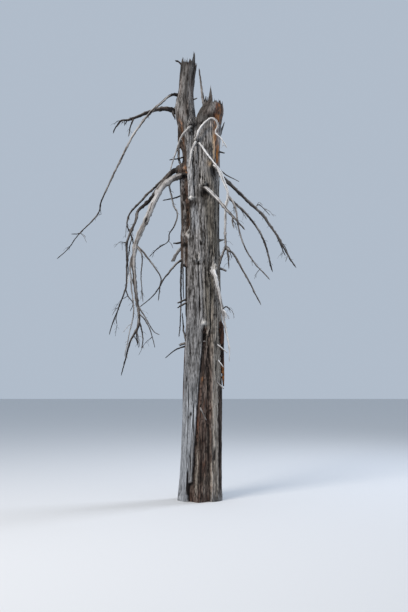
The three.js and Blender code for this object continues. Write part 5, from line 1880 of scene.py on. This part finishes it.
class LimbMaker:
    """Turns limbs into tubes with the relief and tones of weathered limb wood, and with painted light: paler
    tops, darker undersides and painted shade in splits.
    """

    box_margin = 5.0
    ridge, fibre, split, lump = 0.13, 0.06, 0.2, 0.5
    ridge_tone, fibre_tone, split_tone = 1.5, 1.2, 3.2
    upper_tone, mottle_tone, root_tone, thin_tone = 2.5, 1.4, 3.2, 1.3

    def __init__(self, rule: LimbRule) -> None:
        """Keeps the rule that limbs are made by."""
        self.rule = rule

    @staticmethod
    def sides_of(line: Line) -> tuple[Array, Array]:
        """Two sides of each sample, square to the line, carried along it with no twist.

        Args:
            line: the line.

        Returns:
            A unit vector to each side, for each sample.
        """
        side = np.zeros_like(line.ahead)
        carried = np.array([0.0, 1.0, 0.1])
        for i, ahead in enumerate(line.ahead):
            side[i] = carried = unit(carried - ahead * np.dot(carried, ahead))
        return side, np.cross(line.ahead, side)

    def tube(self, limb: Limb, columns: int, step: float, pointed: bool = True) -> Surface:
        """A limb's skin: rings of noise-roughened circles along its line.

        Args:
            limb: the limb.
            columns: points in each ring.
            step: the usual distance between rings.
            pointed: whether it ends in a tapering tip; otherwise it ends broken.

        Returns:
            The skin, closed at both ends, with a tone for each face.
        """
        line = Line.through(limb.points, max(4, int(limb.line.length[-1] / step)))
        length = line.length * (limb.line.length[-1] / line.length[-1])
        radius = limb.radius_at(length, self.rule)
        if pointed:
            radius = radius * (0.25 + 0.75 * ease(0.0, 5 * radius[-1], line.length[-1] - line.length))
        side, other = self.sides_of(line)
        self.wiggle(line, radius, side, other, limb.seed)
        angle = np.arange(columns) * 2 * math.pi / columns
        ring = np.stack([np.cos(angle), np.sin(angle)], axis=-1)[None]
        mean = float(np.mean(radius))
        space = np.empty((len(length), columns, 3))
        space[..., :2] = ring * mean
        space[..., 2] = length[:, None] + 977.0 * limb.seed
        ridge = swing(space, 0.8 * mean, 14 * mean, 61)
        fibre = swing(space, 0.32 * mean, 7 * mean, 62)
        split = groove(0.03, 0.16, swing(space, 1.1 * mean, 26 * mean, 63))
        split = split * ease(0.35, 0.6, noise(space, 60.0, 12 * mean, 64))
        lump = noise(space, 0.9 * mean, 1.8 * mean, 65) ** 4
        share = 1 + self.ridge * ridge + self.fibre * fibre - self.split * split + self.lump * lump
        reach = radius[:, None] * share
        spread = ring[..., :1] * side[:, None] + ring[..., 1:] * other[:, None]
        grid = line.at[:, None] + spread * reach[..., None]
        tip = line.at[-1] + line.ahead[-1] * radius[-1] * 1.2
        if not pointed:
            jag = noise(space[-1:] * 3, mean, mean, 66)[0]
            grid[-1] += line.ahead[-1] * ((jag - 0.35) * 2.6 * radius[-1])[:, None]
            tip = line.at[-1] - line.ahead[-1] * radius[-1] * 0.5
        quads, triangles = tube_faces(len(length), columns)
        last = (limb.tip_look or limb.look).value
        look = mix(limb.look.value, last, ease(0.42, 0.7, length / length[-1]))[:, None]
        # Painted light and shade: splits darken towards black, tops are paler and undersides darker.
        tone = look + self.ridge_tone * ridge + self.fibre_tone * fibre - self.split_tone * split
        tone = tone + self.upper_tone * np.clip(spread[..., 2], -0.8, 0.6)
        tone = tone + self.mottle_tone * (noise(space, 3 * mean, 60.0, 67) - 0.5)
        tone = tone - self.root_tone * (1 - ease(0.5 * limb.dark_root, limb.dark_root + 1, length))[:, None]
        is_thin = (1 - ease(6.0, 13.0, radius))[:, None] * (look < Look.WORN.value)
        tone = tone - self.thin_tone * is_thin
        ends = np.concatenate([tone[0], tone[-1] - (0 if pointed else 1.8)])
        tones = np.concatenate([tone[:-1].reshape(-1), ends])
        tones = np.clip(np.rint(tones), 0, len(LIMB_TONES) - 1).astype(int)
        return Surface(np.vstack([grid.reshape(-1, 3), line.at[0], tip]), quads, triangles, tones=tones)

    def wiggle(self, line: Line, radius: Array, side: Array, other: Array, seed: float) -> None:
        """Shifts the line's inner samples a little aside, so that the limb isn't quite smooth.

        Args:
            line: the line to shift.
            radius: its radii.
            side: the first side of each sample.
            other: the second side.
            seed: picks the shifts.
        """
        room = np.minimum(0.7 * radius, 7.0) * ease(0.0, 60.0, line.length)
        room = room * ease(0.0, 40.0, line.length[-1] - line.length)
        places = np.stack([line.length, np.full_like(line.length, 31.0 * seed), 0 * line.length], -1)
        for direction, pattern in ((side, 71), (other, 72)):
            shift = 1.4 * noise(places, 120, 120, pattern) - 0.7
            shift = shift + 0.6 * np.abs(swing(places, 46, 46, pattern + 5)) - 0.3
            line.at += direction * (shift * room)[:, None]

    def spurs(self, limb: Limb, spacing: float, space: Box) -> list[Surface]:
        """Short dead side twigs along a limb, by a seeded rule: one about every `spacing`.

        Args:
            limb: the limb that carries them.
            spacing: the usual distance between them.
            space: the box that they stay in.

        Returns:
            One small pointed tube for each.
        """
        made = []
        samples = limb.line.length
        for i in range(int(samples[-1] / spacing)):
            seed = limb.seed * 7.31 + i * 1.7
            length = (i + 0.2 + 0.6 * chance(seed)) * spacing
            share = float(np.interp(length, samples, np.linspace(0.0, 1.0, len(samples))))
            if share < 0.12:
                continue
            at, ahead = limb.spot(share, 0.004)
            thick = float(limb.radius_at(length, self.rule))
            turn = 2 * math.pi * chance(seed + 0.21)
            out = np.array([math.cos(turn), math.sin(turn), 0.35 * chance(seed + 0.43)])
            heading = leaning(out - ahead * np.dot(out, ahead), ahead, 0.6)
            reach = thick + mix(8.0, 46.0, chance(seed + 0.67) ** 2)
            bend = at + heading * reach * 0.6
            points = np.array([at, bend, bend + (heading - 0.5 * UP) * reach * 0.4])
            root = min(3.2, 0.38 * thick)
            if not leaves(points, space):
                spur = Limb.even(points, 4, (root, 0.45 * root), limb.look, limb.seed * 3 + i)
                made.append(self.tube(spur, 5, 14.0))
        return made

    def twiglets(self, limb: Limb, count: int, space: Box) -> list[Surface]:
        """The finest twigs on a finer twig or fork, by the same rule one step further on.

        Args:
            limb: the limb that carries them.
            count: how many it tries.
            space: the box that they stay in.

        Returns:
            One small pointed tube for each.
        """
        made = []
        for i in range(count):
            seed = limb.seed * 3.77 + i * 2.3
            at, ahead = limb.spot(mix(0.25, 0.92, chance(seed + 0.11)), 0.01)
            turn = 2 * math.pi * chance(seed + 0.57)
            heading = leaning(np.array([0.7 * math.cos(turn), math.sin(turn), 0.15]), ahead, 0.6)
            points = drooping(at, heading, mix(45.0, 120.0, chance(seed + 0.83)), 0.45, 0.8, 0.0)
            if not leaves(points, space):
                twiglet = Limb.even(points, 6, (2.0, 1.1), limb.look, limb.seed + 13 * i)
                made.append(self.tube(twiglet, 5, 16.0))
        return made


def add_node(
    tree: bpy.types.NodeTree, kind: str, settings: dict | None = None, links: dict | None = None
) -> bpy.types.Node:
    """Adds a shader node with its settings and links.

    Args:
        tree: the node tree.
        kind: the node's type name.
        settings: values by the name of an input socket, or of a property where no socket has it.
        links: output sockets by the name of the input that each feeds.

    Returns:
        The node.
    """
    node = tree.nodes.new(kind)
    for name, value in (settings or {}).items():
        if name in node.inputs:
            node.inputs[name].default_value = value
        else:
            setattr(node, name, value)
    for name, socket in (links or {}).items():
        tree.links.new(socket, node.inputs[name])
    return node


def new_material(name: str, roughness: float, specular: float, colour: str | None = None) -> tuple:
    """A new material with its roughness and, where it has one, its plain colour.

    Args:
        name: its name.
        roughness: its roughness.
        specular: how strongly it reflects.
        colour: its sRGB hex colour.

    Returns:
        The material, its node tree and its surface shader.
    """
    material = bpy.data.materials.new(name)
    material.use_nodes = True
    shader = material.node_tree.nodes["Principled BSDF"]
    shader.inputs["Roughness"].default_value = roughness
    shader.inputs["Specular IOR Level"].default_value = specular
    if colour:
        shader.inputs["Base Color"].default_value = (*linear(colour), 1.0)
    return material, material.node_tree, shader


@dataclass(frozen=True)
class WeatheredSpruce:
    """Old barkless spruce wood, greyed by sun and rain: matt, with a fine grain that runs up the
    stem. The colours, with their painted shade and highlights, come from the surface's own colour attribute."""

    name: str = "weathered_spruce"
    roughness: float = 0.88
    specular: float = 0.22
    fibre_mm: float = 3.5
    fibre_length_mm: float = 70.0
    bump_mm: float = 1.2

    def material(self) -> bpy.types.Material:
        """The wood's material: place colours times a fine grain, with the grain's bump.

        Returns:
            The material.
        """
        material, tree, shader = new_material(self.name, self.roughness, self.specular)
        place = add_node(tree, "ShaderNodeTexCoord")
        across, lengthwise = 1 / (self.fibre_mm * METRES), 1 / (self.fibre_length_mm * METRES)
        stretched = add_node(tree, "ShaderNodeMapping", {"Scale": (across, across, lengthwise)},
                             {"Vector": place.outputs["Object"]})
        grain = add_node(tree, "ShaderNodeTexNoise", {"Scale": 1.0, "Detail": 3.0, "Roughness": 0.6},
                         {"Vector": stretched.outputs["Vector"]})
        tint = add_node(tree, "ShaderNodeMapRange", {"To Min": 0.62, "To Max": 1.38},
                        {"Value": grain.outputs["Fac"]})
        colour = add_node(tree, "ShaderNodeAttribute", {"attribute_name": "wood_colour_and_shade"})
        scaled = add_node(tree, "ShaderNodeVectorMath", {"operation": "SCALE"},
                          {"Vector": colour.outputs["Color"], "Scale": tint.outputs["Result"]})
        tree.links.new(scaled.outputs["Vector"], shader.inputs["Base Color"])
        bump = add_node(tree, "ShaderNodeBump", {"Strength": 0.7, "Distance": self.bump_mm * METRES},
                        {"Height": grain.outputs["Fac"]})
        tree.links.new(bump.outputs["Normal"], shader.inputs["Normal"])
        return material


@dataclass(frozen=True)
class LimbWood:
    """Bleached spruce limb wood in one plain tone: dry, matt and grey."""

    name: str
    colour: str
    roughness: float = 0.85
    specular: float = 0.25

    def material(self) -> bpy.types.Material:
        """A material of one plain tone."""
        return new_material(self.name, self.roughness, self.specular, self.colour)[0]


def make_piece(name: str, surface: Surface, materials: list, nodes: list[str]) -> None:
    """Makes a mesh object from a surface and puts it on the tree's body.

    Args:
        name: the piece's name.
        surface: its points, faces and finish.
        materials: its materials, in the order of the faces' tones.
        nodes: the solids that it stands for.
    """
    mesh = bpy.data.meshes.new(name)
    corners = np.concatenate([surface.quads.reshape(-1), surface.triangles.reshape(-1)]).astype(np.int32)
    sizes = np.concatenate([np.full(len(surface.quads), 4), np.full(len(surface.triangles), 3)])
    starts = np.concatenate([[0], np.cumsum(sizes)[:-1]]).astype(np.int32)
    mesh.vertices.add(len(surface.points))
    mesh.vertices.foreach_set("co", (surface.points * METRES).astype(np.float32).reshape(-1))
    mesh.loops.add(len(corners))
    mesh.loops.foreach_set("vertex_index", corners)
    mesh.polygons.add(len(sizes))
    mesh.polygons.foreach_set("loop_start", starts)
    mesh.polygons.foreach_set("use_smooth", np.ones(len(sizes), bool))
    for material in materials:
        mesh.materials.append(material)
    if surface.tones is not None:
        mesh.polygons.foreach_set("material_index", surface.tones.astype(np.int32))
    mesh.update(calc_edges=True)
    if surface.colours is not None:
        colours = mesh.attributes.new("wood_colour_and_shade", "FLOAT_COLOR", "POINT").data
        opaque = np.ones((len(surface.points), 1))
        colours.foreach_set("color", np.hstack([surface.colours, opaque]).astype(np.float32).reshape(-1))
    if surface.quad_uv is not None:
        uv = np.concatenate([surface.quad_uv.reshape(-1), surface.triangle_uv.reshape(-1)])
        mesh.uv_layers.new(name="OFBake").data.foreach_set("uv", uv.astype(np.float32))
    if surface.normals is not None:
        mesh.normals_split_custom_set_from_vertices(surface.normals.tolist())
    piece = bpy.data.objects.new(name, mesh)
    bpy.context.scene.collection.objects.link(piece)
    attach(piece, "root")
    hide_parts(*nodes)
    LOG.info("%s: %d triangles", name, 2 * len(surface.quads) + len(surface.triangles))


@dataclass(frozen=True)
class PeelingPlate:
    """The reddish plate of wood that peels off the trunk's right side: fast at its top, lifting
    away below, and torn to a point."""

    low: float = 1450.0
    high: float = 2310.0
    left: float = 74.0
    right: float = 98.0
    foot_turn: float = 86.0
    foot_half: float = 0.6
    thickness: float = 46.0
    sunk: float = 6.0
    lift: float = 24.0
    torn: float = 9.0
    rows: int = 150
    across: int = 36

    def surface(self, form: TrunkForm) -> Surface:
        """The plate as a flattened tube: its outer face from left to right and its inner face
        back, with torn edges and fibres along it.

        Args:
            form: the trunk's form, which it lies against.

        Returns:
            The plate.
        """
        z = np.linspace(self.low, self.high, self.rows + 1)[:, None]
        rise = (z - self.low) / (self.high - self.low)
        places = np.stack([0 * z, 0 * z + 40.0, z], axis=-1)
        torn_left = self.torn * (Pattern.PLATE_LEFT.at(places) - 0.5)
        torn_right = self.torn * (Pattern.PLATE_RIGHT.at(places) - 0.5)
        narrow = 0.35 * ease(0.0, 0.14, rise) + 0.65 * ease(0.08, 0.95, rise)
        middle = mix(self.foot_turn, (self.left + self.right) / 2, narrow)
        half = mix(self.foot_half, (self.right - self.left) / 2, narrow)
        waist = 1 - 0.3 * np.exp(-(((rise - 0.62) / 0.05) ** 2))
        share = np.linspace(-1.0, 1.0, self.across)[None]
        torn = torn_left * (share < 0) * np.abs(share) + torn_right * (share > 0) * share
        turn = middle + half * waist * share + torn
        reach = form.reach(turn, z)
        peel = reach + self.lift * (1 - rise) ** 2
        plain = form.place(turn, z, reach)
        fibre = Pattern.PLATE_FIBRE.swing(plain)
        crack = groove(0.03, 0.18, Pattern.PLATE_CRACK.swing(plain))
        edge = 1 - 0.65 * np.abs(share) ** 6
        thick = self.thickness * edge * mix(0.3, 1.0, narrow) * (0.85 + 0.1 * fibre - 0.25 * crack)
        thick = thick * (1 - 0.9 * ease(0.9, 1.0, rise + 0.05 * fibre))
        outer = form.place(turn, z, peel + thick)
        inner = form.place(turn, z, peel - self.sunk + 2 * fibre)
        grid = np.concatenate([outer, inner[:, ::-1]], axis=1)
        streak = Pattern.PLATE_STREAK.sharp(plain, 2.2)
        colour = Hue.ROT_DARK.to(Hue.ROT_RED, 0.1 + 0.75 * streak)
        glow = (1 - ease(0.26, 0.38, rise))[..., None]
        fresh = Hue.ORANGE.to(Hue.ROT_RED, 0.5) * (0.5 + 0.7 * streak)
        colour = mix(colour, fresh, glow * (0.3 + 0.7 * streak))
        # Painted shade in the plate's cracks.
        colour = mix(colour, Hue.CRACK_SHADE.tone, 0.8 * crack[..., None])
        dark = np.broadcast_to(Hue.ROT_DARK.tone, colour.shape)
        return banded(grid, np.concatenate([colour, dark], axis=1), grid_normals(grid))


class Splinters:
    """Thin loose splinters and broken stubs: flattened, fibrous and pointed or broken off."""

    slivers_per_rim = 16
    sliver_root = 60.0

    def __init__(self, maker: LimbMaker) -> None:
        """Keeps the limb maker."""
        self.maker = maker

    def splinter(self, plan: StubPlan, seed: int) -> Surface:
        """A splinter that tapers to its tip."""
        limb = Limb.even(np.array(plan.points, float), 12, plan.radii, plan.look, seed)
        return self.maker.tube(limb, 16, 9.0)

    def stub(self, plan: StubPlan, seed: int) -> Surface:
        """A broken stub, with a torn end."""
        limb = Limb.even(np.array(plan.points, float), 8, plan.radii, plan.look, seed)
        return self.maker.tube(limb, 18, 7.0, pointed=False)

    def rim_slivers(self, leader: Leader, form: TrunkForm, seed: int) -> list[Surface]:
        """Slivers that stand in a leader's broken rim, by a seeded rule.

        Args:
            leader: the leader.
            form: the trunk's form.
            seed: the first of their seeds.

        Returns:
            One pointed tube for each.
        """
        made = []
        for i in range(self.slivers_per_rim):
            degrees = 360.0 * (i + chance(seed + i)) / self.slivers_per_rim
            rim = float(leader.rim_height(np.array([[degrees]]), seed)[0, 0])
            middle, radius, depth = (float(one[0, 0]) for one in leader.circle(form, np.array([[rim]])))
            turn = math.radians(degrees)
            out = np.array([math.sin(turn), -math.cos(turn) * depth, 0.0])
            rise = min(mix(18.0, 62.0, chance(seed + i + 0.6)), BOX_HIGH[2] + 2.0 - rim)
            inset = mix(0.72, 0.94, chance(seed + i + 0.3)) * radius
            foot = np.array([middle, 0.0, rim - 70.0]) + out * inset
            lean = out * mix(-8.0, 10.0, chance(seed + i + 0.9))
            bend = foot + UP * self.sliver_root + 0.3 * lean
            points = np.array([foot, bend, foot + UP * (self.sliver_root + rise) + lean])
            made.append(self.maker.tube(Limb.even(points, 8, (5.5, 1.2), Look.DARK, seed + i), 7, 12.0))
        return made


@dataclass(frozen=True)
class SoftLight:
    """A square soft light: its name, its place, its side, its power in watts and its colour."""

    name: str
    place: Place
    size: float
    power: float
    colour: str


class Studio:
    """A pale floor, soft light and the camera at the photo's viewing angle."""

    camera_place = (50.0, -11050.0, 1640.0)
    camera_pitch = 4.4
    focal_length = 50.0
    sensor_width = 36.0
    floor_half = 40000.0
    aim = (0.0, 0.0, 3.0)
    lights = (
        SoftLight("key", (-5200.0, -6500.0, 9500.0), 3600.0, 900.0, "#FFF6EC"),
        SoftLight("rim", (6000.0, 3500.0, 7500.0), 3000.0, 420.0, "#EAF1FF"),
    )

    def build(self) -> None:
        """Makes the floor, the lights and the camera."""
        scene = bpy.context.scene
        half = self.floor_half * METRES
        mesh = bpy.data.meshes.new("floor")
        corners = [(-half, -half, 0), (half, -half, 0), (half, half, 0), (-half, half, 0)]
        mesh.from_pydata(corners, [], [(0, 1, 2, 3)])
        mesh.materials.append(new_material("pale_floor", 0.9, 0.5, "#D9DADB")[0])
        floor = bpy.data.objects.new("floor", mesh)
        scene.collection.objects.link(floor)
        world = bpy.data.worlds.new("soft_sky")
        scene.world = world
        world.use_nodes = True
        background = world.node_tree.nodes["Background"]
        background.inputs["Color"].default_value = (*linear("#C9D6E6"), 1.0)
        background.inputs["Strength"].default_value = 0.75
        for light in self.lights:
            self.add_light(light)
        data = bpy.data.cameras.new("camera")
        data.lens = self.focal_length
        data.sensor_width = self.sensor_width
        camera = bpy.data.objects.new("camera", data)
        camera.location = [value * METRES for value in self.camera_place]
        camera.rotation_euler = (math.radians(90 + self.camera_pitch), 0.0, 0.0)
        scene.collection.objects.link(camera)
        scene.camera = camera
        scene.view_settings.view_transform = "Standard"

    def add_light(self, light: SoftLight) -> None:
        """Makes a light that points at the middle of the tree.

        Args:
            light: the light.
        """
        data = bpy.data.lights.new(light.name, "AREA")
        data.size = light.size * METRES
        data.energy = light.power
        data.color = linear(light.colour)
        lamp = bpy.data.objects.new(light.name, data)
        lamp.location = [value * METRES for value in light.place]
        x, y, z = np.array(self.aim) - np.array(light.place) * METRES
        lamp.rotation_euler = (math.atan2(math.hypot(x, y), -z), 0.0, math.atan2(-x, y))
        bpy.context.scene.collection.objects.link(lamp)


def build_trunk(crown: Crown, form: TrunkForm, dress: TrunkDress, maker: LimbMaker, tones: list) -> None:
    """Makes the trunk's bands, the leaders, the peeling plate, the stubs and the splinters.

    Args:
        crown: the limbs, whose roots swell the trunk.
        form: the trunk's form.
        dress: what its surface carries.
        maker: makes the stubs and the splinters.
        tones: the limb wood's materials.
    """
    relief = WoodRelief()
    wood = [WeatheredSpruce().material()]
    trunk = Trunk(form, dress, relief, crown.collars())
    for name, surface in zip(("foot", "low", "middle", "top"), trunk.pieces()):
        make_piece("trunk_" + name, surface, wood, ["trunk"])
    splinters = Splinters(maker)
    stubs = [splinters.stub(plan, 300 + i) for i, plan in enumerate(TRUNK_STUBS)]
    slivers = []
    for seed, leader in zip((500, 540), LEADERS):
        surface = leader.surface(form, relief, seed)
        make_piece(leader.name + "_wood", surface, wood, [leader.name])
        slivers += splinters.rim_slivers(leader, form, seed)
        stubs += [splinters.stub(plan, seed + i) for i, plan in enumerate(leader.stubs)]
    nodes = [leader.name for leader in LEADERS]
    make_piece("broken_stubs", joined(stubs), tones, ["trunk", *nodes])
    make_piece("rim_slivers", joined(slivers), tones, nodes)
    make_piece("peeling_plate_wood", PeelingPlate().surface(form), wood, ["peeling_plate"])
    loose = [splinters.splinter(plan, 700 + i) for i, plan in enumerate(SPLINTERS.values())]
    make_piece("loose_splinters", joined(loose), tones, list(SPLINTERS))


def build_crown(crown: Crown, maker: LimbMaker, tones: list) -> None:
    """Makes the boughs with their stems and the twigs, each kind joined by side of the tree.

    Args:
        crown: the limbs.
        maker: makes their skins.
        tones: the limb wood's materials.
    """
    box = (BOX_LOW + maker.box_margin, BOX_HIGH - maker.box_margin)
    for side in ("left", "right", "back"):
        limbs, twigs, bough_nodes, twig_nodes = [], [], [], []
        for plan in (one for one in BOUGHS if one.side == side):
            bough = crown.boughs[plan.name]
            limbs.append(maker.tube(bough, 24 if plan.radii[0] > 18 else 18, 6.0))
            limbs += maker.spurs(bough, 85.0, box)
            bough_nodes.append(plan.name + "_bough")
            if plan.name not in crown.twigs:
                continue
            bough_nodes.append(plan.name + "_twigs")
            twig_nodes.append(plan.name + "_twigs")
            low, high = crown.spaces[plan.name]
            space = (np.maximum(low, box[0]), np.minimum(high, box[1]))
            for limb in crown.twigs[plan.name]:
                twigs.append(maker.tube(limb, 12 if limb.radii[0] > 7 else 9, 9.0))
                twigs += maker.spurs(limb, 130.0, space)
                twigs += maker.twiglets(limb, 2, space)
        make_piece("boughs_" + side, joined(limbs), tones, bough_nodes)
        make_piece("twigs_" + side, joined(twigs), tones, twig_nodes)


def main() -> None:
    """Builds the tree, the studio and the camera, and notes the sizes."""
    logging.basicConfig(level=logging.INFO, format="%(message)s")
    form, dress, rule = TrunkForm(), TrunkDress(), LimbRule()
    crown, maker = Crown(form, dress, rule), LimbMaker(rule)
    tones = [LimbWood(f"limb_wood_{i}", colour).material() for i, colour in enumerate(LIMB_TONES)]
    build_trunk(crown, form, dress, maker, tones)
    build_crown(crown, maker, tones)
    Studio().build()


if __name__ == "__main__":
    main()
